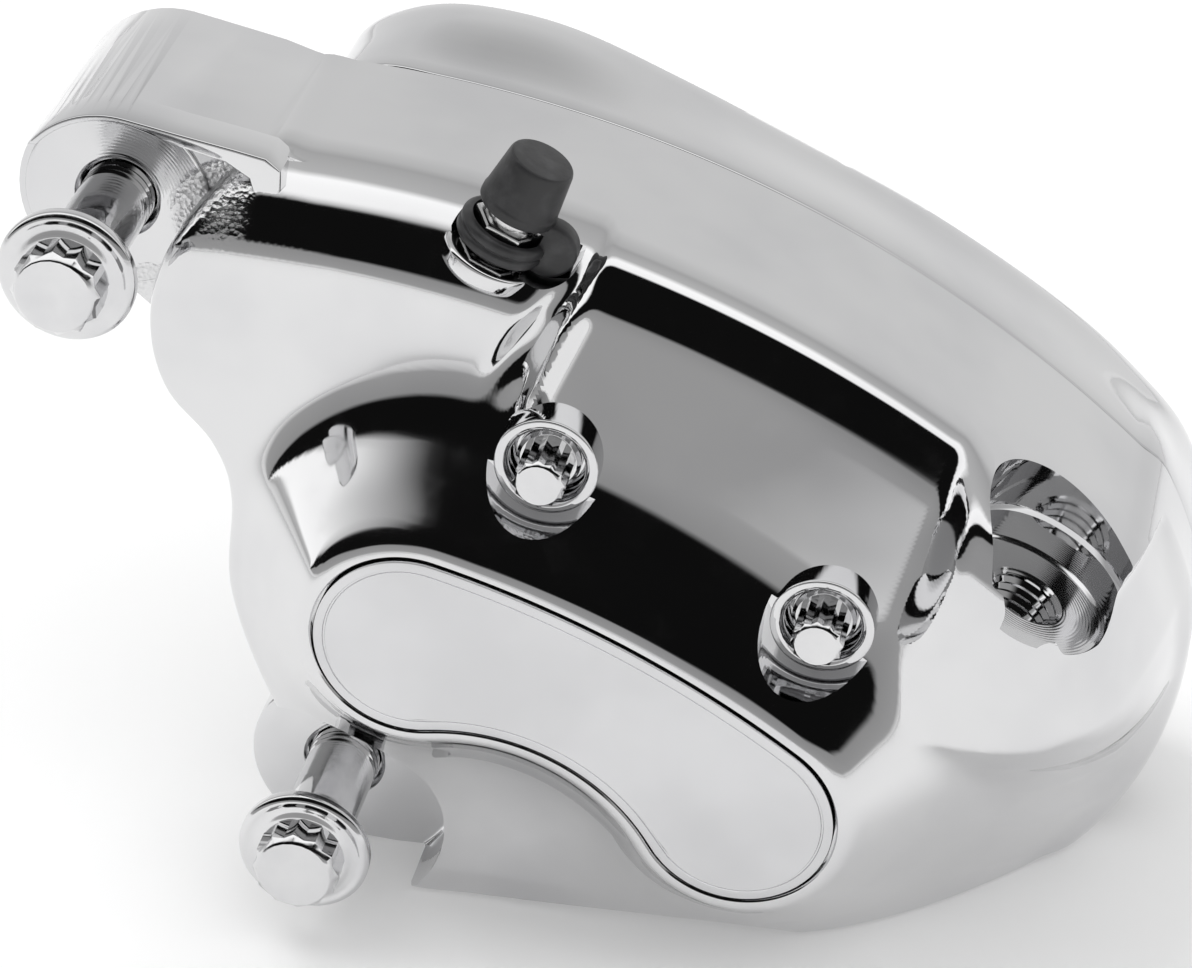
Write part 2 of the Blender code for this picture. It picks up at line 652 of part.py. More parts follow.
def make_o_rings():
    for index, angle in enumerate(crossover_angles):
        u, v = polar(crossover_radius, angle)
        wire = o_ring_wire - touch_gap / 2
        ring = []
        for step in range(6):
            turn = math.pi / 2 - 2 * math.pi * step / 6
            ring.append((o_ring_radius + wire * math.cos(turn), wire * math.sin(turn)))
        place = pose(u, v, disc_plane_y - o_ring_wire + touch_gap / 2, wheel_axis)
        turned(f"crossover_o_ring_{index + 1}", ring, place, seal_rubber, 20)


def make_bleeder():
    """Bleed screw with a hexagon and a barb, and its rubber cap with a retaining strap."""
    place = pose(bleeder_chord, bleeder_seat_v, bleeder_y, radial_axis)
    tip = bleeder_thread_length
    profile = [(0, 12.4), (bleeder_nipple_radius - 0.5, 12.4), (bleeder_nipple_radius, 11.2)]
    profile += [(bleeder_nipple_radius - 0.6, 10.2), (bleeder_nipple_radius - 0.4, 7.6)]
    profile += [(bleeder_thread_radius, 7.2), (bleeder_thread_radius, -tip + 3.0), (0, -tip)]
    valve = turned("bleeder_valve", profile, place, satin, 24)
    hexagon = helper("bleeder_hexagon", cylinder_mesh(bleeder_hex_radius, 4.6, 6),
                     place @ Matrix.Translation((0, 0, 0.5 * MM)))
    joined(valve, "UNION", hexagon)

    inner = bleeder_thread_radius + touch_gap
    cap = [(0, 14.8), (cap_top_radius - 0.5, 14.8), (cap_top_radius, 14.2), (cap_radius, 7.9)]
    cap += [(cap_radius, 6.9), (inner, 6.9), (inner, 12.8), (0, 12.8)]
    cap = turned("bleeder_cap", cap, place, black_rubber, 28)
    ring_radius = bleeder_hex_radius + 1.4
    collar = cylinder_mesh(ring_radius, 3.2, 28)
    collar = helper("cap_collar", collar, place @ Matrix.Translation((0, 0, 1.2 * MM)))
    lobe = cylinder_mesh(strap_lobe_radius, strap_lobe_width, 28)
    spot = pose(bleeder_chord + ring_radius, bleeder_seat_v + 4.2,
                bleeder_y - strap_lobe_width / 2, wheel_axis)
    lobe = helper("cap_strap", lobe, spot)
    joined(cap, "UNION", collar, lobe)
    room = cylinder_mesh(bleeder_hex_radius + touch_gap, 6.0, 28)
    neck = cylinder_mesh(bleeder_thread_radius + touch_gap, 9.0, 28)
    joined(cap, "DIFFERENCE", helper("cap_hexagon_room", room, place),
           helper("cap_neck_room", neck, place))


def make_mounting_bolts():
    """Flanged twelve-point bolts at the depth where they clamp a fork lug to the ears."""
    for name, spot in (("upper", upper_bolt), ("lower", lower_bolt)):
        place = pose(*spot, ear_face_y - fork_lug_thickness, -wheel_axis)
        length = fork_lug_thickness + mount_bolt_engagement
        thickness = mount_flange_thickness
        profile = [(0, thickness + 1.2), (mount_head_radius + 0.6, thickness + 1.2)]
        profile += [(mount_flange_radius, thickness), (mount_flange_radius, 0)]
        profile += [(mount_bolt_radius, 0), (mount_bolt_radius, -length + 1.0)]
        profile += [(mount_bolt_radius - 1.0, -length), (0, -length)]
        bolt = turned(f"mounting_bolt_{name}", profile, place, chrome, 32)
        head = star_mesh(mount_head_radius, mount_head_height)
        joined(bolt, "UNION", helper(f"mount_head_{name}", head, place))


make_outer_body()
make_inner_body()
make_inset_plate()
make_pistons()
make_pads()
make_spring()
make_pad_pins()
make_bridge_bolts()
make_o_rings()
make_bleeder()
make_mounting_bolts()
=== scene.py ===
import math

import bmesh
import bpy
import json
import numpy as np
from mathutils import Matrix, Vector

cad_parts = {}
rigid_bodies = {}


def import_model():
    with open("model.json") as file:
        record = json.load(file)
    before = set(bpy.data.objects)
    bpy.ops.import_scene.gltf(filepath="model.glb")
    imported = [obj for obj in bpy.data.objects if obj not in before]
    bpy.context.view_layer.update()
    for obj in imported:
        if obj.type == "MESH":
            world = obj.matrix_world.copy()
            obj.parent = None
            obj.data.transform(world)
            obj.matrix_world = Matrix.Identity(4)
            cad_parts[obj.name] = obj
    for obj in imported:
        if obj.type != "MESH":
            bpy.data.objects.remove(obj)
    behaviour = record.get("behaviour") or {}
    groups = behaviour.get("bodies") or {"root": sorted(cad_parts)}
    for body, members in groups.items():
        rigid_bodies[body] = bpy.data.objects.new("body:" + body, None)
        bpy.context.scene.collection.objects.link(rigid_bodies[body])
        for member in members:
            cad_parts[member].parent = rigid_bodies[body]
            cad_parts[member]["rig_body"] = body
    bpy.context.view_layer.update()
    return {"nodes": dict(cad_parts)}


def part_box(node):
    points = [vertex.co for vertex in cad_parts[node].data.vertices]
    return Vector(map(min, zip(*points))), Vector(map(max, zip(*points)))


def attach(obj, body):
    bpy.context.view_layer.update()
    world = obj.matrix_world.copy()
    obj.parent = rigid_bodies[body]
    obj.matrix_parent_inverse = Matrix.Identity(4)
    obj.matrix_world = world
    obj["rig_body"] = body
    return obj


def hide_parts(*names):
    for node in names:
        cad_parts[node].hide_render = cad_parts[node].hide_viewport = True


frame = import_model()
mm = 0.001

# the wheel frame: u along the chord, v outwards, y along the wheel axis, all in millimetres
wheel = {"x": -50.97, "z": -69.3, "tilt": 26.0, "parting": 11.8, "rim": 175.0}
tilt = math.radians(wheel["tilt"])
chord = Vector((math.cos(tilt), 0, -math.sin(tilt)))
axle = Vector((0, 1, 0))
outward = Vector((math.sin(tilt), 0, math.cos(tilt)))
hub = Vector((wheel["x"], 0, wheel["z"])) * mm


def place(u, v, y):
    return hub + (chord * u + axle * y + outward * v) * mm


def placeAll(u, v, y):
    spots = np.outer(u, chord) + np.outer(v, outward) + np.outer(y, axle)
    return np.array(hub) + spots * mm


def facing(u, v, y, direction):
    turn = direction.to_track_quat("Z", "Y").to_matrix().to_4x4()
    return Matrix.Translation(place(u, v, y)) @ turn


def around(radius, degrees):
    angle = math.radians(degrees)
    return radius * math.sin(angle), radius * math.cos(angle)


def spotOf(node):
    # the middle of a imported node
    low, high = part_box(node)
    return (Vector(low) + Vector(high)) / 2


def tableV(u, above=0.0):
    return (above - wheel["z"] + u * math.sin(tilt)) / math.cos(tilt)


def ease(x, low, high):
    t = np.clip((x - low) / (high - low), 0, 1)
    return t * t * (3 - 2 * t)


def softLine(stops, x, blur=0.6):
    # a broken line with its corners rounded off
    xs = np.arange(-6.0, 90.0, 0.1)
    ys = np.interp(xs, [s[0] for s in stops], [s[1] for s in stops])
    reach = np.arange(-3 * blur, 3 * blur + 0.05, 0.1)
    weights = np.exp(-((reach / blur) ** 2) / 2)
    padded = np.pad(ys, len(reach) // 2, mode="edge")
    smooth = np.convolve(padded, weights / weights.sum(), mode="valid")[: len(xs)]
    return np.interp(x, xs, smooth)


def smoothMax(a, b, width):
    spread = np.maximum(width - np.abs(a - b), 0) / width
    return np.maximum(a, b) + spread**2 * width / 4


def newObject(name, shape, material=None, sharp=32):
    mesh = bpy.data.meshes.new(name)
    bmesh.ops.remove_doubles(shape, verts=shape.verts, dist=1e-6)
    bmesh.ops.recalc_face_normals(shape, faces=shape.faces)
    shape.to_mesh(mesh)
    shape.free()
    made = bpy.data.objects.new(name, mesh)
    bpy.context.scene.collection.objects.link(made)
    if material is not None:
        mesh.materials.append(material)
    smoothShade(made, sharp)
    return made


def smoothShade(made, sharp):
    made.data.shade_smooth()
    made.data.set_sharp_from_angle(angle=math.radians(sharp))


def cylinder(radius, length, sides=64, end=None, bevel=0.0):
    shape = bmesh.new()
    bmesh.ops.create_cone(
        shape, cap_ends=True, segments=sides, radius1=radius * mm,
        radius2=(radius if end is None else end) * mm, depth=length * mm,
        matrix=Matrix.Translation((0, 0, length * mm / 2)))
    if bevel:
        rims = [e for e in shape.edges if any(len(f.verts) > 4 for f in e.link_faces)]
        softened(shape, rims, bevel, 3)
    return shape


def softened(shape, edges, width, segments=3):
    bmesh.ops.bevel(shape, geom=edges, offset=width * mm, segments=segments, profile=0.5,
                    affect="EDGES", material=-1, clamp_overlap=True)


def lathe(profile, sides=72):
    # radius and height pairs, spun once round Z
    shape = bmesh.new()
    line = [shape.verts.new((r * mm, 0, h * mm)) for r, h in profile]
    for first, second in zip(line, line[1:]):
        shape.edges.new((first, second))
    if profile[0][0] > 0.001:
        shape.edges.new((line[-1], line[0]))
    bmesh.ops.spin(shape, geom=shape.verts[:] + shape.edges[:], cent=(0, 0, 0), axis=(0, 0, 1),
                   dvec=(0, 0, 0), angle=math.tau, steps=sides, use_merge=True)
    bmesh.ops.remove_doubles(shape, verts=shape.verts, dist=1e-6)
    bmesh.ops.recalc_face_normals(shape, faces=shape.faces)
    return shape


def rounded(profile, radius, steps=4):
    # a profile whose inner corners are replaced by arcs
    points = [Vector(p) for p in profile]
    found = [points[0]]
    for before, corner, after in zip(points, points[1:], points[2:]):
        into, out = (before - corner), (after - corner)
        cut = min(radius, into.length * 0.45, out.length * 0.45)
        start, end = corner + into.normalized() * cut, corner + out.normalized() * cut
        for step in range(steps + 1):
            t = step / steps
            found.append(start * (1 - t) ** 2 + corner * 2 * t * (1 - t) + end * t * t)
    found.append(points[-1])
    return [(p.x, p.y) for p in found]


def prism(outline, nearY, farY):
    shape = bmesh.new()
    face = shape.faces.new([shape.verts.new(place(u, v, nearY)) for u, v in outline])
    raised = bmesh.ops.extrude_face_region(shape, geom=[face])
    moved = [item for item in raised["geom"] if isinstance(item, bmesh.types.BMVert)]
    bmesh.ops.translate(shape, verts=moved, vec=axle * (farY - nearY) * mm)
    bmesh.ops.recalc_face_normals(shape, faces=shape.faces)
    return shape


def roundPrism(outline, nearY, farY, width, segments=3):
    shape = prism(outline, nearY, farY)
    rims = [e for e in shape.edges if abs((e.verts[0].co - e.verts[1].co).y) < 1e-7]
    softened(shape, rims, width, segments)
    return shape


def moved(shape, matrix):
    bmesh.ops.transform(shape, matrix=matrix, verts=shape.verts)
    return shape


def boolean(target, operation, helpers, sharp=32):
    # closed solids joined or cut one after another, applied to the mesh
    for shape in helpers:
        tool = bpy.data.objects.new("tool", bpy.data.meshes.new("tool"))
        bmesh.ops.remove_doubles(shape, verts=shape.verts, dist=1e-6)
        bmesh.ops.recalc_face_normals(shape, faces=shape.faces)
        shape.to_mesh(tool.data)
        shape.free()
        bpy.context.scene.collection.objects.link(tool)
        step = target.modifiers.new("join", "BOOLEAN")
        step.operation = operation
        step.object = tool
        step.solver = "MANIFOLD"
        graph = bpy.context.evaluated_depsgraph_get()
        done = bpy.data.meshes.new_from_object(target.evaluated_get(graph))
        old, helper = target.data, tool.data
        target.modifiers.clear()
        target.data = done
        bpy.data.objects.remove(tool)
        bpy.data.meshes.remove(old)
        bpy.data.meshes.remove(helper)
    smoothShade(target, sharp)
    return target


def spline(points, steps=8, closed=True):
    # Catmull-Rom through the points
    count = len(points)
    found = []
    for i in range(count if closed else count - 1):
        p0, p1, p2, p3 = (np.array(points[(i + k) % count if closed else
                                          min(max(i + k, 0), count - 1)], float) for k in (-1, 0, 1, 2))
        for step in range(steps):
            t = step / steps
            found.append(0.5 * (2 * p1 + (p2 - p0) * t + (2 * p0 - 5 * p1 + 4 * p2 - p3) * t * t
                                + (3 * p1 - 3 * p2 + p3 - p0) * t**3))
    return np.array(found)


def reachOf(outline, angles, centre):
    # distance from a centre to a closed outline along each angle
    du, dv = outline[:, 0] - centre[0], outline[:, 1] - centre[1]
    theta = np.arctan2(du, dv)
    order = np.argsort(theta)
    theta, radius = theta[order], np.hypot(du, dv)[order]
    theta = np.concatenate([theta - math.tau, theta, theta + math.tau])
    return np.interp(angles, theta, np.tile(radius, 3))


def skin(name, rows, material, sharp=32):
    # rows of points round the piece, from its front cap to its back cap
    count, sides = len(rows), len(rows[0])
    shape = bmesh.new()
    bmesh.ops.create_grid(shape, x_segments=sides, y_segments=count - 1, size=1)
    shape.verts.ensure_lookup_table()
    spots = np.array([v.co[:2] for v in shape.verts])
    across = np.rint((spots[:, 0] + 1) / 2 * sides).astype(int) % sides
    along = np.rint((spots[:, 1] + 1) / 2 * (count - 1)).astype(int)
    table = np.array(rows)
    for vert, i, j in zip(shape.verts, along, across):
        vert.co = table[i, j]
    bmesh.ops.remove_doubles(shape, verts=shape.verts, dist=1e-7)
    bmesh.ops.holes_fill(shape, edges=shape.edges)
    return newObject(name, shape, material, sharp)


print("helpers ready")


def addNode(tree, kind, settings=None, inputs=None):
    # a node of one kind: its settings first, then the values or links of its sockets
    made = tree.nodes.new(kind)
    for key, value in (settings or {}).items():
        if key == "stops":
            ramp = made.color_ramp
            while len(ramp.elements) < len(value):
                ramp.elements.new(0.5)
            for element, (position, colour) in zip(ramp.elements, value):
                element.position = position
                element.color = (*colour, 1)
        else:
            setattr(made, key, value)
    for key, value in (inputs or {}).items():
        if isinstance(value, Num):
            value = value.socket
        if isinstance(value, bpy.types.NodeSocket):
            tree.links.new(value, made.inputs[key])
        elif value is not None:
            made.inputs[key].default_value = value
    return made


class Num:
    # wraps a socket, so that shader maths reads as plain expressions
    def __init__(self, tree, socket):
        self.tree = tree
        self.socket = socket

    def op(self, operation, other=None, flip=False):
        first, second = (1, 0) if flip else (0, 1)
        made = addNode(self.tree, "ShaderNodeMath", {"operation": operation},
                       {first: self.socket, second: other})
        return Num(self.tree, made.outputs[0])

    def __add__(self, other):
        return self.op("ADD", other)

    __radd__ = __add__

    def __mul__(self, other):
        return self.op("MULTIPLY", other)

    __rmul__ = __mul__

    def __sub__(self, other):
        return self.op("SUBTRACT", other)

    def __rsub__(self, other):
        return self.op("SUBTRACT", other, flip=True)

    def __truediv__(self, other):
        return self.op("DIVIDE", other)

    def above(self, low, high):
        # 0 below low, 1 over high
        made = addNode(self.tree, "ShaderNodeMapRange", {"interpolation_type": "SMOOTHSTEP"},
                       {"Value": self.socket, "From Min": low, "From Max": high})
        return Num(self.tree, made.outputs["Result"])

    def atLeast(self, other):
        return self.op("MAXIMUM", other)


class Finish:
    # one material: its tree, its shader and its coordinates
    def __init__(self, name, colour, roughness, metallic, coat=0.0):
        self.made = bpy.data.materials.new(name)
        self.made.use_nodes = True
        self.tree = self.made.node_tree
        self.shader = self.tree.nodes["Principled BSDF"]
        self.shader.inputs["Base Color"].default_value = (*colour, 1)
        self.shader.inputs["Roughness"].default_value = roughness
        self.shader.inputs["Metallic"].default_value = metallic
        self.shader.inputs["Coat Weight"].default_value = coat
        self.made.diffuse_color = (*colour, 1)
        self.object = addNode(self.tree, "ShaderNodeTexCoord").outputs["Object"]

    def node(self, kind, settings=None, inputs=None):
        return addNode(self.tree, kind, settings, inputs)

    def noise(self, scale, detail=2.0, rough=0.5, stretch=None):
        source = self.object
        if stretch:
            source = self.node("ShaderNodeMapping", None, {"Vector": source, "Scale": stretch}).outputs[0]
        made = self.node("ShaderNodeTexNoise", None,
                         {"Vector": source, "Scale": scale, "Detail": detail, "Roughness": rough})
        return Num(self.tree, made.outputs[0])

    def cells(self, scale, feature="F1"):
        made = self.node("ShaderNodeTexVoronoi", {"feature": feature},
                         {"Vector": self.object, "Scale": scale})
        return Num(self.tree, made.outputs["Distance"])

    def away(self, spot):
        # distance in metres from a point of the piece
        made = self.node("ShaderNodeVectorMath", {"operation": "DISTANCE"}, {0: self.object, 1: tuple(spot)})
        return Num(self.tree, made.outputs["Value"])

    def along(self, spot, direction):
        # signed distance in metres from a plane
        shifted = self.node("ShaderNodeVectorMath", {"operation": "SUBTRACT"},
                            {0: self.object, 1: tuple(spot)})
        made = self.node("ShaderNodeVectorMath", {"operation": "DOT_PRODUCT"},
                         {0: shifted.outputs[0], 1: tuple(direction)})
        return Num(self.tree, made.outputs["Value"])

    def fromAxis(self, spot, direction):
        # distance in metres from a line
        far, high = self.away(spot), self.along(spot, direction)
        return (far * far - high * high).atLeast(0.0).op("SQRT")

    def mix(self, first, second, factor):
        first, second = (end if isinstance(end, bpy.types.NodeSocket) else (*end, 1)
                         for end in (first, second))
        made = self.node("ShaderNodeMix", {"data_type": "RGBA"}, {"Factor": factor, 6: first, 7: second})
        return made.outputs[2]

    def feed(self, name, value):
        self.tree.links.new(value.socket if isinstance(value, Num) else value, self.shader.inputs[name])

    def bump(self, height, strength, distance):
        made = self.node("ShaderNodeBump", None,
                         {"Height": height, "Strength": strength, "Distance": distance})
        self.feed("Normal", made.outputs["Normal"])


chromeLook = {"colour": (0.71, 0.71, 0.715), "dim": (0.65, 0.65, 0.66), "gloss": 0.04, "haze": 0.05}


def castingFinish(name, rough, raw):
    # bright plating, rough cast skin near some spots, and turned faces round some axes
    f = Finish(name, chromeLook["colour"], chromeLook["gloss"], 1.0)
    grain = f.noise(900, 4, 0.6) * 0.6 + f.cells(1400) * 0.6
    roughMask = None
    for spot, reach in rough:
        near = 1 - f.away(spot).above(reach * 0.8, reach)
        roughMask = near if roughMask is None else roughMask.atLeast(near)
    rings = None
    for spot, direction, reach in raw:
        radius = f.fromAxis(spot, direction)
        level = f.along(spot, direction).op("ABSOLUTE")
        within = (1 - radius.above(reach, reach * 1.02)) * (1 - level.above(0.0004, 0.0006))
        turned = (radius * 14000).op("SINE") * within
        rings = turned if rings is None else rings + turned
    smudge = f.noise(38, 3).above(0.3, 0.62)
    f.feed("Base Color", f.mix(chromeLook["dim"], chromeLook["colour"], smudge))
    gloss = f.noise(170, 3).above(0.45, 0.8) * chromeLook["haze"] + chromeLook["gloss"]
    height = f.noise(60, 1.0) * 0.3
    if roughMask is not None:
        gloss = gloss + roughMask * 0.24
        height = height + roughMask * grain * 1.3
    if rings is not None:
        gloss = gloss + rings.op("ABSOLUTE") * 0.10
        height = height + rings * 0.015
    f.feed("Roughness", gloss)
    f.bump(height, 1.0, 0.00022)
    return f


def steelFinish(name, colour, roughness, stretch=(1, 1, 1), haze=0.15):
    f = Finish(name, colour, roughness, 1.0)
    grain = f.noise(700, 3, 0.6, stretch)
    dim = tuple(c * 0.78 for c in colour)
    f.feed("Base Color", f.mix(dim, colour, f.noise(90, 4).above(0.3, 0.7)))
    f.feed("Roughness", grain * haze + (roughness - haze / 2))
    f.bump(grain, 0.5, 0.00006)
    return f


def rubberFinish(name, colour, roughness):
    f = Finish(name, colour, roughness, 0.0)
    grain = f.noise(1600, 3, 0.6)
    lighter = tuple(c * 1.9 + 0.01 for c in colour)
    f.feed("Base Color", f.mix(colour, lighter, f.noise(260, 4).above(0.45, 0.75)))
    f.feed("Roughness", f.noise(300, 3) * 0.2 + (roughness - 0.1))
    f.bump(grain, 0.5, 0.00005)
    return f


def frictionFinish(name):
    # pressed compound: dark binder with metal specks
    f = Finish(name, (0.05, 0.045, 0.04), 0.9, 0.0)
    speck = 1 - f.cells(900).above(0.16, 0.24)
    sparse = f.noise(500, 2).above(0.52, 0.6)
    metal = speck * sparse
    base = f.mix((0.045, 0.04, 0.037), (0.10, 0.085, 0.07), f.noise(420, 4).above(0.35, 0.7))
    f.feed("Base Color", f.mix(base, (0.42, 0.33, 0.24), metal))
    f.feed("Metallic", metal)
    f.feed("Roughness", 0.92 - metal * 0.5)
    f.bump(f.noise(800, 4, 0.65) - metal * 0.2, 0.8, 0.00018)
    return f


def paintFinish(name, colour):
    # thin black paint with worn spots
    f = Finish(name, colour, 0.42, 0.0, 0.1)
    worn = f.noise(130, 5, 0.65).above(0.66, 0.72)
    f.feed("Base Color", f.mix(colour, (0.36, 0.35, 0.34), worn))
    f.feed("Metallic", worn)
    f.feed("Roughness", f.noise(600, 3) * 0.16 + 0.34)
    f.bump(f.noise(900, 3), 0.6, 0.00006)
    return f


print("finishes ready")

kidney = {"outer": 136.8, "lobe": 12.6, "half": 23.7, "waist": 28.2, "border": 1.9, "face": 44.4}
lobeSwing = math.degrees(math.asin(kidney["half"] / (kidney["outer"] - kidney["lobe"])))
lobeV = around(kidney["outer"] - kidney["lobe"], lobeSwing)[1]
waistV = lobeV - math.sqrt((kidney["waist"] + kidney["lobe"]) ** 2 - kidney["half"] ** 2)
middle = (0.0, 127.0)


def kidneyGap(u, v):
    # signed distance from the kidney's outline, in millimetres
    side = np.abs(u)
    radius = np.hypot(u, v)
    lobe = np.hypot(side - kidney["half"], v - lobeV) - kidney["lobe"]
    lean = kidney["half"] * (v - waistV) / (lobeV - waistV)
    over = np.where(v > lobeV, side - v * math.tan(math.radians(lobeSwing)), side - lean)
    band = np.maximum(radius - kidney["outer"], kidney["waist"] - np.hypot(u, v - waistV))
    return np.minimum(lobe, np.where(over > 0, 1e9, band))


def kidneyReach(angles, border):
    # how far the outline lies from the middle along each angle
    found = np.zeros(len(angles))
    steps = np.arange(2.0, 60.0, 0.05)
    for index, angle in enumerate(angles):
        u = middle[0] + steps * math.sin(angle)
        v = middle[1] + steps * math.cos(angle)
        found[index] = np.interp(border, np.maximum.accumulate(kidneyGap(u, v)), steps)
    return found


casting = {
    "around": 560, "slope": 64, "wall": 8, "ridgeU": -25.2, "ridgeHigh": 1.3,
    "pocket": (-28.9, 159.6), "pocketSize": (2.0, 6.6), "pocketDeep": 1.9,
    "foldU": 25.6, "foldLean": 0.15, "foldWide": 6.5, "panelRise": 5.4,
}
edgeLeft = [(0.0, 14.5), (1.2, 18.4), (4.5, 22.4), (9.5, 26.2), (12.0, 26.6), (60.0, 26.9)]
edgeFacet = [(0.0, 18.6), (0.9, 20.6), (6.4, 25.2), (27.5, 33.0), (60.0, 44.9)]
edgeRight = [(0.0, 22.0), (0.8, 27.0), (3.0, 31.0), (8.0, 33.6), (60.0, 35.5)]
bossFlank = [(-6.0, 0.0), (0.1, 0.0), (60.0, 60.0)]


def bodyOutline():
    swings = np.linspace(-23.5, 19.0, 24)
    points = [around(wheel["rim"], swing) for swing in swings]
    points += [(66.5, 156.5), (71.6, 146.5), (74.6, 135.0), (75.2, 124.0), (73.0, 114.5)]
    points += [(69.6, tableV(69.6, 1.2)), (66.0, tableV(66.0, 0.05)), (52.0, tableV(52.0, 0.3))]
    points += [(34.0, tableV(34.0, 0.35)), (16.0, tableV(16.0, 0.35)), (2.0, tableV(2.0, 0.35))]
    points += [(-5.6, tableV(-5.6, 0.1)), (-12.0, 78.0), (-20.0, 82.6), (-35.0, 93.0), (-47.0, 105.5)]
    points += [(-52.5, 117.5), (-58.5, 123.4), (-67.0, 127.4), (-72.6, 135.0), (-74.6, 144.5), (-73.2, 153.0)]
    return spline(points, 10)


outline = bodyOutline()
rightSide = np.array([(58.4, 165.0), (66.5, 156.5), (72.0, 146.5), (75.4, 135.0), (76.3, 124.0),
                      (74.0, 112.0), (70.0, 100.0), (66.0, 88.0)])


def gapTo(line, u, v):
    # distance to a broken line
    best = np.full(np.shape(u), 1e9)
    for a, b in zip(line, line[1:]):
        span = b - a
        t = np.clip(((u - a[0]) * span[0] + (v - a[1]) * span[1]) / (span @ span), 0, 1)
        best = np.minimum(best, np.hypot(u - a[0] - span[0] * t, v - a[1] - span[1] * t))
    return best


def standOut(u, v):
    # how far the front stands out from y = 0, in millimetres
    rimGap = wheel["rim"] - np.hypot(u, v)
    left = softLine(edgeLeft, rimGap, 0.7)
    left = left + casting["panelRise"] * ease(rimGap, 12, 36) * ease(u, -62, -30)
    facet = softLine(edgeFacet, rimGap, 0.7)
    onFacet = ease(u, casting["ridgeU"] - 1.6, casting["ridgeU"] + 0.6)
    front = left + (facet - left) * onFacet
    ridge = np.exp(-(((u - casting["ridgeU"]) / 1.5) ** 2)) * ease(v, 150, 157) * (1 - ease(v, 165, 170))
    front = front + ridge * casting["ridgeHigh"]
    pu, pv = casting["pocket"]
    su, sv = casting["pocketSize"]
    oval = ((u - pu - (v - pv) * 0.16) / su) ** 2 + ((v - pv) / sv) ** 2
    front = front - casting["pocketDeep"] * np.exp(-(oval**1.6))
    rightGap = gapTo(rightSide, u, v)
    high = ease(v, 128, 152)
    cheek = -11.0 + (46 + 4.5 * high) * (1 - np.exp(-rightGap / (14.5 - 9.0 * high)))
    cheek = np.minimum(cheek, softLine(edgeRight, rimGap, 0.8))
    fold = casting["foldU"] + (170 - v) * casting["foldLean"]
    front = front + (cheek - front) * ease(u, fold, fold + casting["foldWide"])
    lift = (v - tableV(u)) * math.cos(tilt)
    skirt = np.minimum(26.4 + 0.5 * lift, 60)
    low = ease(122 - v, 0, 12) * (1 - ease(u, 34, 50))
    front = front + (np.minimum(skirt, 29.0) - front) * low
    gap = softLine(bossFlank, kidneyGap(u, v) - kidney["border"], 0.7)
    turn = np.degrees(np.arctan2(u, v - 125.0))
    steep = 1.12 + 0.06 * ease(-turn, 40, 80) + 0.10 * ease(turn, 60, 95)
    below = 28.0 + (kidney["face"] - 28.0) * np.exp(-np.maximum(gap, 0) / 11.0)
    boss = kidney["face"] - steep * gap
    boss = boss + (below - boss) * ease(np.abs(turn), 100, 150)
    raised = smoothMax(boss, front, 2.6)
    return np.minimum(raised, 27.4 + 1.25 * np.maximum(lift, 0) + 20 * ease(lift, 12, 30))


def makeOutboard(material):
    angles = np.linspace(-math.pi, math.pi, casting["around"], endpoint=False)
    far = reachOf(outline, angles, middle)
    sin, cos = np.sin(angles), np.cos(angles)
    inner = kidneyReach(angles, 0.5)
    rim = kidneyReach(angles, 0.72)
    low = kidney["face"] - 2.8

    def ring(reach, y):
        return placeAll(middle[0] + sin * reach, middle[1] + cos * reach, y)

    full = np.ones(len(angles))
    rows = [ring(inner, -low * full), ring(inner, -(kidney["face"] - 0.22) * full)]
    rows.append(ring(rim, -kidney["face"] * full))
    last = None
    for step in range(1, casting["slope"] + 1):
        t = step / casting["slope"]
        s = t * 0.55 + 0.45 * (1 - (1 - t) ** 2.4)
        reach = rim + (far - rim) * s
        u, v = middle[0] + sin * reach, middle[1] + cos * reach
        high = standOut(u, v)
        gap = far - reach
        blunt = 1.3 * (1 - np.sqrt(1 - np.clip(1 - gap / 1.5, 0, 1) ** 2))
        last = -(high - blunt)
        rows.append(ring(reach, last))
    for step in range(1, casting["wall"] + 1):
        t = step / casting["wall"]
        rows.append(ring(far, last + (wheel["parting"] - last) * t))
    return skin("outboardCasting", rows, material, 38)


ears = {
    "upper": (-83.7, 144.4), "lower": (-22.0, 81.0), "face": -17.7, "rough": -17.1, "hood": -21.4,
    "upperRadius": 13.4, "lowerRadius": 13.1, "spot": 12.5, "hole": 5.1, "lug": 17.0, "lowerBack": 0.0,
}
pins = {"left": (-19.4, 149.1), "right": (21.3, 147.4), "boss": 6.8, "top": -34.4, "well": 5.0, "deep": 3.6,
        "room": 7.6, "roomTop": -33.8}
banjo = {"u": 43.2, "v": 158.8, "y": -22.8, "face": 11.2, "step": 4.6, "wide": 12.0, "hole": 4.8,
         "deep": 13.0}
bleeder = {"u": -38.0, "v": 165.6, "y": -20.5, "seat": 6.2, "tap": 3.7, "deep": 13.5}
inside = {"slot": 147.5, "cavity": 161.0, "reach": 41.5, "open": 60.0, "floor": 14.1, "bore": 16.3,
          "groove": 19.0, "wiperAt": 1.2, "sealAt": 5.0, "boreDeep": 17.3, "half": kidney["half"]}
inside["pistonV"] = (spotOf("outer_piston_left") - hub).dot(outward) / mm
bridge = {"pitch": 167.5, "swings": (-19.5, 0.0, 18.5), "hole": 3.8, "head": 5.6, "seat": 7.0}


def arcPoints(centre, radius, start, end, steps):
    spots = [around(radius, start + (end - start) * k / steps) for k in range(steps + 1)]
    return [(centre[0] + du, centre[1] + dv) for du, dv in spots]


def alongWheel(shape, u, v, y):
    return moved(shape, facing(u, v, y, axle))


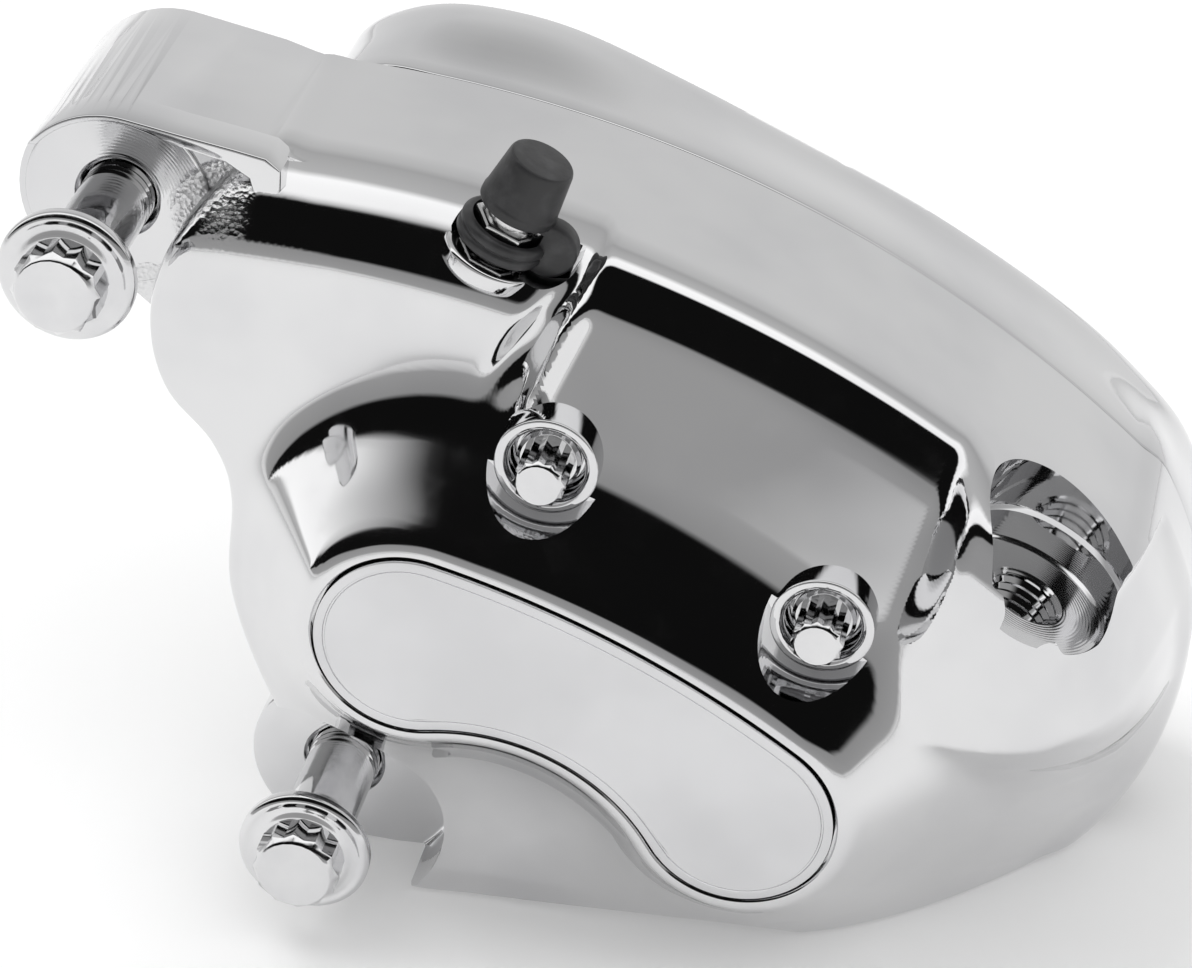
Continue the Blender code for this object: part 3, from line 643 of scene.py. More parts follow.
def upperEar():
    cu, cv = ears["upper"]
    top = [(cu - 3.4, cv + ears["upperRadius"] - 0.45), (-80.0, 159.0), (-74.5, 160.25), (-70.5, 160.75)]
    top += [around(174.8, -22.6), around(173.6, -21.0), (-56.0, 152.0), (-60.0, 140.0)]
    under = [(-66.5, 129.6), (-71.0, 131.0), (cu + 6.6, cv - ears["upperRadius"] + 1.75)]
    web = roundPrism(top + under + arcPoints((cu, cv), ears["upperRadius"], 150, 345, 30), ears["rough"],
                     wheel["parting"], 0.5)
    spot = lathe(rounded([(0, 3), (ears["spot"], 3), (ears["spot"], 0.0), (0, 0)], 0.5)[::-1])
    spot = moved(spot, facing(cu, cv, ears["face"], axle))
    outer = arcPoints((cu, cv), ears["upperRadius"], 282, 346, 16)
    outer += [(-80.0, 159.15), (-73.0, 161.0), (-68.8, 162.0)]
    bend = [(-66.4, 161.4), (-65.2, 158.4), (-66.2, 155.6), (-67.8, 154.4), (-68.2, 156.6), (-69.6, 158.2)]
    lower = [(-73.2, 158.7), (-79.4, 157.5)] + arcPoints((cu, cv), ears["spot"] - 0.05, 350, 286, 12)
    hood = roundPrism(outer + bend + lower, ears["hood"], ears["face"] + 3.0, 0.55)
    return [web, spot, hood]


def lowerEar():
    cu, cv = ears["lower"]
    link = arcPoints((cu, cv), ears["lowerRadius"], 178, 290, 24)
    link += [(-40.0, 112.0), (6.0, 104.0), (6.0, tableV(6.0, 0.3)), (-10.0, tableV(-10.0, 0.2))]
    return [roundPrism(link, ears["face"], ears["lowerBack"], 0.5)]


def drilled(radius, near, far, u, v, chamfer=0.5, sides=56):
    # a straight hole along the wheel axis with a chamfered mouth at its near end
    steps = [(0, far - near), (radius, far - near), (radius, chamfer), (radius + chamfer, 0.0)]
    steps += [(radius + chamfer, -0.01), (0, -0.01)]
    return moved(lathe(steps[::-1], sides), facing(u, v, near, axle))


def discSpace(side):
    near = wheel["parting"] + side * 5.0
    far = wheel["parting"] - side * 5.0
    slot = cylinder(inside["slot"], abs(far - near), 220)
    slot = moved(slot, facing(0, 0, min(near, far), axle))
    swing = math.degrees(math.asin(inside["reach"] / inside["cavity"]))
    shape = [(-inside["reach"], inside["open"])] + arcPoints((0, 0), inside["cavity"], -swing, swing, 40)
    shape += [(inside["reach"], inside["open"])]
    floor = wheel["parting"] + side * inside["floor"]
    return [slot, prism(shape, min(floor, far), max(floor, far))]


def bores(side):
    found = []
    for hand in (-1, 1):
        bore, groove = inside["bore"], inside["groove"]
        steps = [(0, -3), (bore + 0.6, -3), (bore + 0.6, 0.0), (bore, 0.6), (bore, inside["wiperAt"])]
        grooves = (inside["wiperAt"], 2.0, inside["sealAt"]), (inside["sealAt"], 3.0, None)
        for start, width, after in grooves:
            steps += [(groove, start), (groove, start + width + 0.6), (bore, start + width + 0.6)]
            if after:
                steps += [(bore, after)]
        deep = inside["boreDeep"] - 0.3
        steps += [(bore, deep - 0.8), (bore - 0.8, deep), (0, deep)]
        floor = wheel["parting"] + side * inside["floor"]
        spot = facing(hand * inside["half"], inside["pistonV"], floor, axle * side)
        found.append(moved(lathe(steps[::-1], 96), spot))
    return found


def earPorts():
    found = [moved(cylinder(ears["lug"], 46.3, 120, bevel=0.7), facing(*ears["lower"], -64.0, axle))]
    for name in ("upper", "lower"):
        found.append(drilled(ears["hole"], ears["face"], wheel["parting"] + 8, *ears[name], 0.7))
        found.append(moved(cylinder(ears["hole"], 60), facing(*ears[name], ears["face"] - 50, axle)))
    return found


def pinWells():
    found = []
    for end in ("left", "right"):
        u, v = pins[end]
        well, top, floor = pins["well"], pins["top"], pins["top"] + pins["deep"]
        steps = [(0, floor), (well - 0.5, floor), (well, floor - 0.5), (well, top + 0.9)]
        steps += [(well + 0.25, top + 0.36), (well + 0.85, top - 0.02)]
        steps += [(well + 0.85, top - 16), (0, top - 16)]
        found.append(moved(lathe(steps, 64), facing(u, v, 0, axle)))
        found.append(drilled(3.3, floor, wheel["parting"] + 4, u, v, 0.3, 40))
    return found


def banjoPort():
    face, hole = banjo["face"], banjo["hole"]
    steps = [(0, 0), (face - 0.4, 0), (face, 0.4), (face, banjo["step"])]
    steps += [(banjo["wide"], banjo["step"] + 0.35), (banjo["wide"], 26), (0, 26)]
    spot = facing(banjo["u"], banjo["v"], banjo["y"], outward)
    seat = moved(lathe(steps[::-1], 128), spot)
    steps = [(0, 1), (hole + 0.55, 1), (hole + 0.55, 0.05), (hole - 0.05, -0.65)]
    for turn in range(9):
        low = -0.9 - turn * 1.25
        steps += [(hole + 0.05, low - 0.2), (hole - 0.45, low - 0.8)]
    steps += [(hole - 0.3, -banjo["deep"]), (0, -banjo["deep"] - 1.6)]
    return [seat, moved(lathe(steps, 56), spot)]


def bleederPort():
    spot = facing(bleeder["u"], bleeder["v"], bleeder["y"], outward)
    steps = [(0, 0), (bleeder["seat"] - 0.3, 0), (bleeder["seat"], 0.4), (bleeder["seat"], 20), (0, 20)]
    found = [moved(lathe(steps[::-1], 72), spot)]
    steps = [(0, 1), (bleeder["tap"] + 0.4, 1), (bleeder["tap"] + 0.4, 0), (bleeder["tap"], -0.4)]
    found.append(moved(lathe(steps + [(bleeder["tap"], -bleeder["deep"]), (0, -bleeder["deep"])], 40), spot))
    lobe = cylinder(4.4, 23.0, 48)
    found.append(alongWheel(lobe, bleeder["u"] + 6.0, bleeder["v"] + 4.2, bleeder["y"] - 21.0))
    return found


def bridgePorts():
    found = []
    for swing in bridge["swings"]:
        u, v = around(bridge["pitch"], swing)
        found.append(moved(cylinder(bridge["hole"], 24, 40), facing(u, v, wheel["parting"] - 19, axle)))
    for swing in (-13.0, 12.0):
        u, v = around(bridge["pitch"], swing)
        found.append(moved(cylinder(4.5, 6.6, 48), facing(u, v, wheel["parting"] - 1.6, axle)))
    return found


def pinBosses():
    found = []
    for end in ("left", "right"):
        steps = [(0, 0), (pins["boss"] - 1.0, 0), (pins["boss"], 0), (pins["boss"] + 0.1, 10), (0, 10)]
        shape = lathe(rounded(steps, 1.0, 6)[::-1], 72)
        found.append(moved(shape, facing(*pins[end], pins["top"], axle)))
    seat = lathe(rounded([(0, 0.0), (6.5, 0.0), (6.5, -2.6), (0, -5.5)], 0.7, 5), 72)
    found.append(moved(seat, facing(bleeder["u"], bleeder["v"], bleeder["y"], outward)))
    return found


def outboardRaw():
    turned = [(place(*ears["upper"], ears["face"]), axle, 0.0124)]
    turned.append((place(*ears["lower"], ears["face"]), axle, 0.0130))
    turned.append((place(banjo["u"], banjo["v"], banjo["y"]), outward, 0.0111))
    rough = [(place(-68.5, 149.0, ears["rough"]), 0.0095), (place(-73.5, 133.0, ears["rough"]), 0.006)]
    return castingFinish("castChrome", rough, turned)


castChrome = outboardRaw()
outboard = makeOutboard(castChrome.made)
rooms = [alongWheel(cylinder(pins["room"], 30, 72), *pins[end], pins["roomTop"] - 30)
         for end in ("left", "right")]
boolean(outboard, "DIFFERENCE", rooms)
boolean(outboard, "UNION", upperEar() + lowerEar() + pinBosses())
boolean(outboard, "DIFFERENCE", pinWells() + banjoPort() + discSpace(-1) + bores(-1))
boolean(outboard, "DIFFERENCE", earPorts() + bridgePorts() + bleederPort(), 34)
print("outboard half", len(outboard.data.polygons), "faces")


def standFor(piece, node):
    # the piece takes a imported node's place on its body
    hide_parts(node)
    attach(piece, frame["nodes"][node]["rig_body"])


standFor(outboard, "outer_body")

inner = {"around": 420, "full": 29.0, "neck": 38.0, "back": 45.6, "roll": 6.0, "edge": 1.8,
         "plugRadius": 15.2, "plugGroove": 1.1, "plugDeep": 0.7, "holeEnd": 30.6}
innerEdge = [(-66.5, 152.0), (-66.8, 157.0), (-62.4, 162.8), (-55.4, 167.6), (-42.3, 171.7), (-25.0, 172.9),
             (-5.6, 173.2), (10.0, 173.2), (25.9, 171.8), (40.0, 169.4), (50.0, 166.4), (60.0, 162.0),
             (68.0, 153.5), (72.6, 144.5), (75.0, 135.0), (75.9, 126.0), (75.2, 117.5), (70.0, 111.5),
             (62.0, 108.6), (50.0, 107.6), (36.0, 105.5), (16.0, 103.5), (0.0, 104.0), (-16.0, 103.2),
             (-36.0, 105.5), (-48.0, 116.0), (-60.0, 134.0)]
housingEdge = [around(154, swing) for swing in (-17, -13.5, -9.5, -5, 0, 5, 9.5, 13.5, 17)]
housingEdge += [(50.0, 138.0), (50.5, 128.0), (49.0, 118.0), (45.0, 110.5), (38.0, 105.9), (30.0, 104.3),
                (15.0, 105.2), (0.0, 107.0), (-15.0, 105.2), (-30.0, 104.3), (-41.0, 107.6), (-48.0, 116.0),
                (-50.2, 127.0), (-49.5, 138.0)]


def makeInboard(material):
    angles = np.linspace(-math.pi, math.pi, inner["around"], endpoint=False)
    full = reachOf(spline(innerEdge, 10), angles, middle)
    housing = reachOf(spline(housingEdge, 10), angles, middle)
    blur = np.exp(-(np.linspace(-2.5, 2.5, 15) ** 2))
    blur /= blur.sum()
    full, housing = (np.convolve(np.pad(line, 7, mode="wrap"), blur, mode="valid")
                     for line in (full, housing))
    housing = np.minimum(housing, full - inner["roll"] * 0.4)
    start = wheel["parting"] + 0.3
    flush = (reachOf(outline, angles, middle) - 0.05 - full) * ease(np.sin(angles) * full, -68, -56)
    flush = flush * (np.cos(angles) > 0)
    rows = []

    def fullAt(y):
        return full + flush * (1 - ease(y, start + 2, inner["full"] - 1))

    def ring(reach, y):
        return placeAll(middle[0] + np.sin(angles) * reach, middle[1] + np.cos(angles) * reach,
                        np.full(len(angles), y))

    for step in range(4):
        turn = math.pi / 2 * step / 3
        rows.append(ring(fullAt(start) - 0.5 * (1 - math.sin(turn)), start + 0.5 * (1 - math.cos(turn))))
    for y in np.linspace(start + 3, inner["full"], 8):
        rows.append(ring(fullAt(y), y))
    for step in range(1, 13):
        t = step / 12
        y = inner["full"] + (inner["neck"] - inner["full"]) * t
        shoulder = full - inner["roll"] * (1 - math.sqrt(max(1 - t * t, 0)))
        rows.append(ring(shoulder + (housing - shoulder) * ease(t, 0.35, 1.0), y))
    for y in np.linspace(inner["neck"] + 0.8, inner["back"] - inner["edge"], 6):
        rows.append(ring(housing, y))
    for step in range(1, 8):
        turn = math.pi / 2 * step / 7
        rows.append(ring(housing - inner["edge"] * (1 - math.cos(turn)),
                         inner["back"] - inner["edge"] * (1 - math.sin(turn))))
    return skin("inboardCasting", rows, material, 38)


def inboardPorts():
    found = []
    floor = wheel["parting"] + inside["floor"]
    for end in ("left", "right"):
        found.append(drilled(3.3, floor, inner["holeEnd"], *pins[end], 0.4, 40))
    for swing in bridge["swings"]:
        u, v = around(bridge["pitch"], swing)
        seat = wheel["parting"] + bridge["seat"]
        found.append(moved(cylinder(bridge["hole"], 24, 40), facing(u, v, wheel["parting"] - 5, axle)))
        steps = [(0, 0), (bridge["head"] - 0.4, 0), (bridge["head"], 0.4), (bridge["head"], 40), (0, 40)]
        found.append(moved(lathe(steps[::-1], 56), facing(u, v, seat, axle)))
    radius, half = inner["plugRadius"], inner["plugGroove"] / 2
    steps = [(radius - half, 2), (radius - half, -inner["plugDeep"]), (radius + half, -inner["plugDeep"]),
             (radius + half, 2)]
    for hand in (-1, 1):
        spot = facing(hand * inside["half"], inside["pistonV"], inner["back"], axle)
        found.append(moved(lathe(steps, 96), spot))
    return found


def inboardRaw():
    turned = [(place(hand * inside["half"], inside["pistonV"], inner["back"]), axle, 0.0145)
              for hand in (-1, 1)]
    return castingFinish("inboardChrome", [], turned)


inboard = makeInboard(inboardRaw().made)
boolean(inboard, "DIFFERENCE", inboardPorts() + discSpace(1) + bores(1), 34)
standFor(inboard, "inner_body")
print("inboard half", len(inboard.data.polygons), "faces")

plate = {"around": 320, "gap": 0.15, "front": -44.6, "back": -41.9, "edge": 0.3, "line": 1.25,
         "lineWide": 0.3, "lineDeep": 0.16}


def makePlate(material):
    # the polished kidney plate with a fine line inside its edge
    angles = np.linspace(-math.pi, math.pi, plate["around"], endpoint=False)
    edge, front = plate["edge"], plate["front"]
    steps = [(plate["gap"], plate["back"]), (plate["gap"], front + edge)]
    steps += [(plate["gap"] - edge * 0.3, front + edge * 0.3), (plate["gap"] - edge, front)]
    line = plate["gap"] - plate["line"]
    deep = front + plate["lineDeep"]
    far = line - plate["lineWide"]
    steps += [(line, front), (line - 0.1, deep), (far, deep), (far - 0.1, front)]
    rows = []
    for border, y in steps:
        reach = kidneyReach(angles, border)
        rows.append(placeAll(middle[0] + np.sin(angles) * reach, middle[1] + np.cos(angles) * reach,
                             np.full(len(angles), y)))
    return skin("facePlate", rows, material, 25)


def plateFinish():
    f = Finish("plateChrome", (0.66, 0.66, 0.67), 0.14, 1.0)
    grain = f.noise(520, 3, 0.6, (0.15, 1, 1))
    f.feed("Base Color", f.mix((0.61, 0.61, 0.62), (0.67, 0.67, 0.68), f.noise(50, 3).above(0.3, 0.7)))
    f.feed("Roughness", grain * 0.10 + 0.12)
    f.bump(f.noise(55, 1.0) * 0.6 + grain * 0.02, 1.0, 0.00008)
    return f


facePlate = makePlate(plateFinish().made)
standFor(facePlate, "inset_plate")
print("face plate ready")


def starHead(radius, height, valley=0.9, bevel=0.9):
    # a twelve-point head along Z, its points chamfered into a round end
    shape = bmesh.new()
    bmesh.ops.create_circle(shape, cap_ends=True, segments=24, radius=radius * mm)
    for vert in shape.verts:
        lobe = math.cos(12 * math.atan2(vert.co.y, vert.co.x))
        vert.co *= 1.0 if lobe > 0 else valley
    cap = shape.faces[:]
    for lift, share in ((height - bevel, 0), (bevel * 0.8, valley * 0.97), (bevel * 0.2, valley * 0.93)):
        raised = bmesh.ops.extrude_face_region(shape, geom=cap)["geom"]
        if share:
            bmesh.ops.delete(shape, geom=[face for face in cap if face.is_valid], context="FACES_ONLY")
        cap = [item for item in raised if isinstance(item, bmesh.types.BMFace)]
        top = [item for item in raised if isinstance(item, bmesh.types.BMVert)]
        bmesh.ops.translate(shape, verts=top, vec=(0, 0, lift * mm))
        if share:
            for vert in top:
                vert.co.xy = vert.co.xy.normalized() * radius * share * mm
    bmesh.ops.recalc_face_normals(shape, faces=shape.faces)
    return shape


mountBolt = {"base": -38.2, "flange": 9.0, "head": 5.9, "headHigh": 7.2, "shank": 4.8, "length": 34.5,
             "plain": 17.5, "pitch": 1.25}


def threadSteps(radius, start, end, pitch, depth):
    steps = []
    level = start
    while level - pitch > end:
        steps += [(radius, level), (radius, level - pitch * 0.2), (radius - depth, level - pitch * 0.55),
                  (radius - depth, level - pitch * 0.65)]
        level -= pitch
    return steps + [(radius, level)]


def makeMountBolt(name, spot, material):
    bolt = mountBolt
    rim = [(0, 2.7), (6.0, 2.7), (6.6, 2.35), (7.5, 2.2), (8.3, 2.35), (bolt["flange"], 1.7)]
    rim += [(bolt["flange"], 0.5), (8.4, 0.0), (bolt["shank"] + 0.5, 0.0), (bolt["shank"], -0.6)]
    rim = rounded(rim, 0.28, 3)
    rim += threadSteps(bolt["shank"], -bolt["plain"], -bolt["length"] + 1.2, bolt["pitch"], 0.6)
    rim += [(bolt["shank"] - 1.0, -bolt["length"]), (0, -bolt["length"])]
    at = facing(*spot, bolt["base"], -axle)
    made = newObject(name, moved(lathe(rim, 96), at), material, 32)
    head = moved(starHead(bolt["head"], bolt["headHigh"] - 1.2), at @ Matrix.Translation((0, 0, 1.2 * mm)))
    return boolean(made, "UNION", [head], 28)


def turnedFinish(name, spots):
    # bright plating over turned rings
    f = Finish(name, chromeLook["colour"], 0.07, 1.0)
    rings = None
    for spot, direction in spots:
        wave = (f.fromAxis(spot, direction) * 9000).op("SINE") * (1 - f.away(spot).above(0.02, 0.021))
        rings = wave if rings is None else rings + wave
    f.feed("Base Color", f.mix(chromeLook["dim"], chromeLook["colour"], f.noise(110, 4).above(0.3, 0.65)))
    f.feed("Roughness", f.noise(260, 4).above(0.42, 0.78) * 0.12 + 0.06)
    f.bump(rings * 0.05 + f.noise(300, 2) * 0.25, 1.0, 0.00008)
    return f


boltSpots = [(place(*ears[name], mountBolt["base"]), axle) for name in ("upper", "lower")]
boltChrome = turnedFinish("boltChrome", boltSpots)
for name in ("upper", "lower"):
    made = makeMountBolt(f"{name}MountBolt", ears[name], boltChrome.made)
    standFor(made, f"mounting_bolt_{name}")

padPin = {"seat": -31.1, "top": -39.1, "head": 3.4, "collar": 4.2, "shank": 3.0, "end": 29.7}


def makePadPin(name, spot, material):
    pin = padPin
    long = pin["seat"] - pin["end"]
    steps = [(0, 1.5), (pin["collar"] - 0.5, 1.5), (pin["collar"], 1.1), (pin["collar"], 0.2),
             (pin["collar"] - 0.2, 0), (pin["shank"], 0), (pin["shank"], long + 6.2),
             (pin["shank"] - 0.35, long + 5.9),
             (pin["shank"] - 0.35, long + 4.6), (pin["shank"], long + 4.3), (pin["shank"], long + 0.8),
             (pin["shank"] - 0.8, long), (0, long)]
    at = facing(*spot, pin["seat"], -axle)
    made = newObject(name, moved(lathe(steps, 56), at), material, 32)
    head = moved(starHead(pin["head"], pin["seat"] - pin["top"] - 0.8, 0.88, 0.5),
                 at @ Matrix.Translation((0, 0, 0.8 * mm)))
    return boolean(made, "UNION", [head], 28)


pinChrome = turnedFinish("pinChrome", [(place(*pins[end], padPin["top"]), axle) for end in ("left", "right")])
for end in ("left", "right"):
    standFor(makePadPin(f"{end}PadPin", pins[end], pinChrome.made), f"pad_pin_{end}")

bridgeBolt = {"seat": 19.1, "high": 6.0, "head": 5.2, "shank": 3.5, "length": 24.3, "socket": 3.4,
              "deep": 3.6}


def makeBridgeBolt(name, spot, material):
    bolt = bridgeBolt
    head, shank, high, socket = bolt["head"], bolt["shank"], bolt["high"], bolt["socket"]
    steps = [(0, high), (head - 0.7, high), (head - 0.15, high - 0.25), (head, high - 0.8), (head, 0.15),
             (head - 0.15, 0.0), (shank + 0.3, 0.0), (shank, -0.3)]
    steps += threadSteps(bolt["shank"], -9.0, -bolt["length"] + 1.0, 1.0, 0.45)
    steps += [(bolt["shank"] - 0.8, -bolt["length"]), (0, -bolt["length"])]
    at = facing(*spot, bolt["seat"], axle)
    made = newObject(name, moved(lathe(steps, 72), at), material, 32)
    key = moved(cylinder(socket, 6, 6), at @ Matrix.Translation((0, 0, (high - bolt["deep"]) * mm)))
    mouth = lathe([(0, -0.3), (socket - 0.3, -0.3), (socket + 0.25, 0.25), (0, 0.25)][::-1], 48)
    mouth = moved(mouth, at @ Matrix.Translation((0, 0, high * mm)))
    return boolean(made, "DIFFERENCE", [key, mouth], 28)


blackOxide = steelFinish("bridgeSteel", (0.42, 0.42, 0.43), 0.26)
for index, swing in enumerate(bridge["swings"]):
    made = makeBridgeBolt(f"bridgeBolt{index + 1}", around(bridge["pitch"], swing), blackOxide.made)
    standFor(made, f"bridge_bolt_{index + 1}")
print("bolts and pins ready")

valve = {"hex": 4.6, "low": 0.5, "high": 5.1, "thread": 3.4, "tip": 13.0, "nipple": 2.7, "top": 12.4}
cap = {"top": 4.4, "base": 5.2, "room": 3.7, "collar": 6.0, "lobe": 3.8, "lobeWide": 3.0, "lobeV": 4.2}
bleedAt = facing(bleeder["u"], bleeder["v"], bleeder["y"], outward)


def makeValve(material):
    v = valve
    steps = [(0, v["top"]), (v["nipple"] - 0.5, v["top"]), (v["nipple"], v["top"] - 1.2),
             (v["nipple"] - 0.6, 10.2), (v["nipple"] - 0.4, 7.6), (v["thread"] - 0.2, 7.2),
             (v["thread"], 6.9), (v["thread"], 0.0)]
    steps += threadSteps(v["thread"], -0.6, -v["tip"] + 3.2, 1.0, 0.4)
    steps += [(v["thread"] - 0.8, -v["tip"] + 2.6), (0, -v["tip"])]
    made = newObject("bleedValve", moved(lathe(steps, 64), bleedAt), material, 32)
    hexagon = cylinder(v["hex"], v["high"] - v["low"], 6, bevel=0.35)
    hexagon = moved(hexagon, bleedAt @ Matrix.Translation((0, 0, v["low"] * mm)))
    return boolean(made, "UNION", [hexagon], 28)


def makeCap(material):
    # tapered rubber cap, its collar round the hexagon and the lobe that ties the two together
    c = cap
    steps = [(0, 14.8), (c["top"] - 0.2, 14.8), (c["top"], 14.3), (c["base"] - 0.12, 8.5), (c["base"], 8.2),
             (c["base"], 6.9), (0, 6.9)]
    made = newObject("bleedCap", moved(lathe(rounded(steps, 0.5, 4), 72), bleedAt), material, 32)
    collar = [(0, 4.4), (c["collar"] - 0.5, 4.4), (c["collar"], 3.9), (c["collar"], 3.1),
              (c["collar"] - 0.35, 2.8), (c["collar"], 2.5), (c["collar"], 1.7),
              (c["collar"] - 0.4, 1.2), (0, 1.2)]
    collar = moved(lathe(rounded(collar, 0.3, 3), 72), bleedAt)
    lobe = cylinder(c["lobe"], c["lobeWide"], 56, bevel=0.6)
    lobe = alongWheel(lobe, bleeder["u"] + c["collar"], bleeder["v"] + c["lobeV"],
                      bleeder["y"] - c["lobeWide"] / 2)
    boolean(made, "UNION", [collar, lobe])
    room = moved(cylinder(4.9, 6.0, 56), bleedAt)
    neck = moved(cylinder(c["room"], 12.8, 56), bleedAt)
    return boolean(made, "DIFFERENCE", [room, neck], 34)


valvePlating = steelFinish("valvePlating", (0.74, 0.74, 0.74), 0.16)
standFor(makeValve(valvePlating.made), "bleeder_valve")
capRubber = rubberFinish("capRubber", (0.018, 0.018, 0.019), 0.42)
standFor(makeCap(capRubber.made), "bleeder_cap")
print("bleeder ready")

piston = {"radius": 16.0, "length": 17.0, "wall": 3.0, "crown": 4.0, "face": 12.1}
pistonSteel = steelFinish("pistonSteel", (0.66, 0.66, 0.67), 0.2, (1, 0.05, 1), 0.18)


def makePiston(name, hand, side, material):
    p = piston
    outer, bore, far = p["radius"], p["radius"] - p["wall"], -p["length"]
    steps = [(0, 0), (outer - 0.8, 0), (outer, -0.8), (outer, far + 2.6), (outer - 0.5, far + 2.3),
             (outer - 0.5, far + 1.4), (outer, far + 1.1), (outer, far + 0.3), (outer - 0.3, far),
             (bore + 0.4, far), (bore, far + 0.4), (bore, -p["crown"] - 1.0), (bore - 1.0, -p["crown"]),
             (0, -p["crown"])]
    back = wheel["parting"] + side * (p["face"] + p["length"])
    at = facing(hand * inside["half"], inside["pistonV"], back, axle * side)
    return newObject(name, moved(lathe(steps, 96), at), material, 32)


for side, half in ((-1, "outer"), (1, "inner")):
    for hand, end in ((-1, "left"), (1, "right")):
        made = makePiston(f"{half}Piston{end.title()}", hand, side, pistonSteel.made)
        standFor(made, f"{half}_piston_{end}")

pad = {"half": 40.0, "top": 144.5, "low": 108.0, "tabReach": 5.6, "tabSwing": 3.2, "lining": 3.0,
       "thick": 4.5, "backing": 7.8, "plate": 4.0, "hole": 3.3, "groove": 1.6,
       "grooveDeep": 3.2}


def swingOf(spot):
    return math.degrees(math.atan2(spot[0], spot[1]))


def padEdge(inset, tabs):
    # concentric with the disc, with or without the ears that hang on the pins
    reach, top, low = pad["half"] - inset, pad["top"] - inset, pad["low"] + inset
    swing = math.degrees(math.asin(reach / top)) - 1.5
    lowSwing = math.degrees(math.asin((reach - 6.0) / pad["low"]))
    sideV = math.sqrt(pad["low"] ** 2 - reach**2) + 12.0
    points = [(-reach, sideV)]
    stops = [-swing]
    for end in ("left", "right"):
        stops += [swingOf(pins[end]) - pad["tabSwing"], swingOf(pins[end]) + pad["tabSwing"]]
    stops.append(swing)
    for index in range(0, len(stops), 2):
        points += arcPoints((0, 0), top, stops[index], stops[index + 1], 8)
        if tabs and index < 4:
            points += arcPoints(pins[("left", "right")[index // 2]], pad["tabReach"], -100, 100, 16)
        elif index < 4:
            points += arcPoints((0, 0), top, stops[index + 1] + 0.3, stops[index + 2] - 0.3, 6)
    points.append((reach, sideV))
    return points + arcPoints((0, 0), low, lowSwing, -lowSwing, 30)


def makeLining(name, side, material):
    near = wheel["parting"] + side * pad["lining"]
    far = near + side * pad["thick"]
    block = roundPrism(padEdge(1.5, False), min(near, far), max(near, far), 0.35, 2)
    made = newObject(name, block, material, 32)
    groove = bmesh.new()
    bmesh.ops.create_cube(groove, size=1)
    bmesh.ops.scale(groove, verts=groove.verts, vec=(pad["groove"] * mm, pad["grooveDeep"] * mm, 0.08))
    cuts = [moved(groove, facing(0, 127, near, axle) @ Matrix.Rotation(math.radians(90), 4, "X"))]
    return boolean(made, "DIFFERENCE", cuts, 32)


def makeBacking(name, side, material):
    near = wheel["parting"] + side * pad["backing"]
    far = near + side * pad["plate"]
    block = roundPrism(padEdge(0.0, True), min(near, far), max(near, far), 0.3, 2)
    made = newObject(name, block, material, 32)
    holes = [drilled(pad["hole"], min(near, far) - 1, max(near, far) + 1, *pins[end], 0.0001, 40)
             for end in ("left", "right")]
    return boolean(made, "DIFFERENCE", holes, 32)


backingPaint = paintFinish("backingPaint", (0.035, 0.035, 0.037))
compound = frictionFinish("frictionCompound")
for side, half in ((-1, "outer"), (1, "inner")):
    standFor(makeBacking(f"{half}PadPlate", side, backingPaint.made), f"{half}_pad_backing")
    standFor(makeLining(f"{half}PadLining", side, compound.made), f"{half}_pad_lining")

spring = {"radius": 156.2, "thick": 0.6, "half": 3.0, "reach": 11.6, "overhang": 1.8, "finger": 1.4}


def makeSpring(material):
    low, high = spring["radius"], spring["radius"] + spring["thick"]
    first, last = swingOf(pins["left"]) - spring["overhang"], swingOf(pins["right"]) + spring["overhang"]
    strip = arcPoints((0, 0), high, first, last, 48) + arcPoints((0, 0), low, last, first, 48)
    level = wheel["parting"]
    leaf = prism(strip, level - spring["half"], level + spring["half"])
    made = newObject("rattleSpring", leaf, material, 32)
    fingers = []
    for end in ("left", "right"):
        swing = swingOf(pins[end])
        tab = arcPoints((0, 0), high, swing - spring["finger"], swing + spring["finger"], 8)
        tab += arcPoints((0, 0), low, swing + spring["finger"], swing - spring["finger"], 8)
        fingers.append(prism(tab, level - spring["reach"], level + spring["reach"]))
    boolean(made, "UNION", fingers)
    slots = []
    for start, end in ((-5.5, -0.6), (0.9, 5.8)):
        window = arcPoints((0, 0), high + 2, start, end, 12) + arcPoints((0, 0), low - 2, end, start, 12)
        slots.append(prism(window, level - 1.2, level + 1.2))
    return boolean(made, "DIFFERENCE", slots, 32)


springSteel = steelFinish("springSteel", (0.60, 0.60, 0.61), 0.24, (1, 1, 0.1), 0.16)
standFor(makeSpring(springSteel.made), "anti_rattle_spring")

ringRubber = rubberFinish("ringRubber", (0.022, 0.022, 0.022), 0.5)
for name, node in frame["nodes"].items():
    if "seal" in name or "wiper" in name or "o_ring" in name:
        node.data.materials.clear()
        node.data.materials.append(ringRubber.made)
print("pads, pistons, spring and rings ready")

# pitch in degrees, from the front over the top to the back, and how bright the studio is there
studioBands = [(-90, 0.9), (-10, 0.9), (-1, 0.88), (5, 0.42), (34, 0.36), (39, 0.006), (66, 0.006), (71, 1.25),
               (88, 1.35), (97, 0.62), (125, 0.50), (150, 0.75), (180, 0.85)]


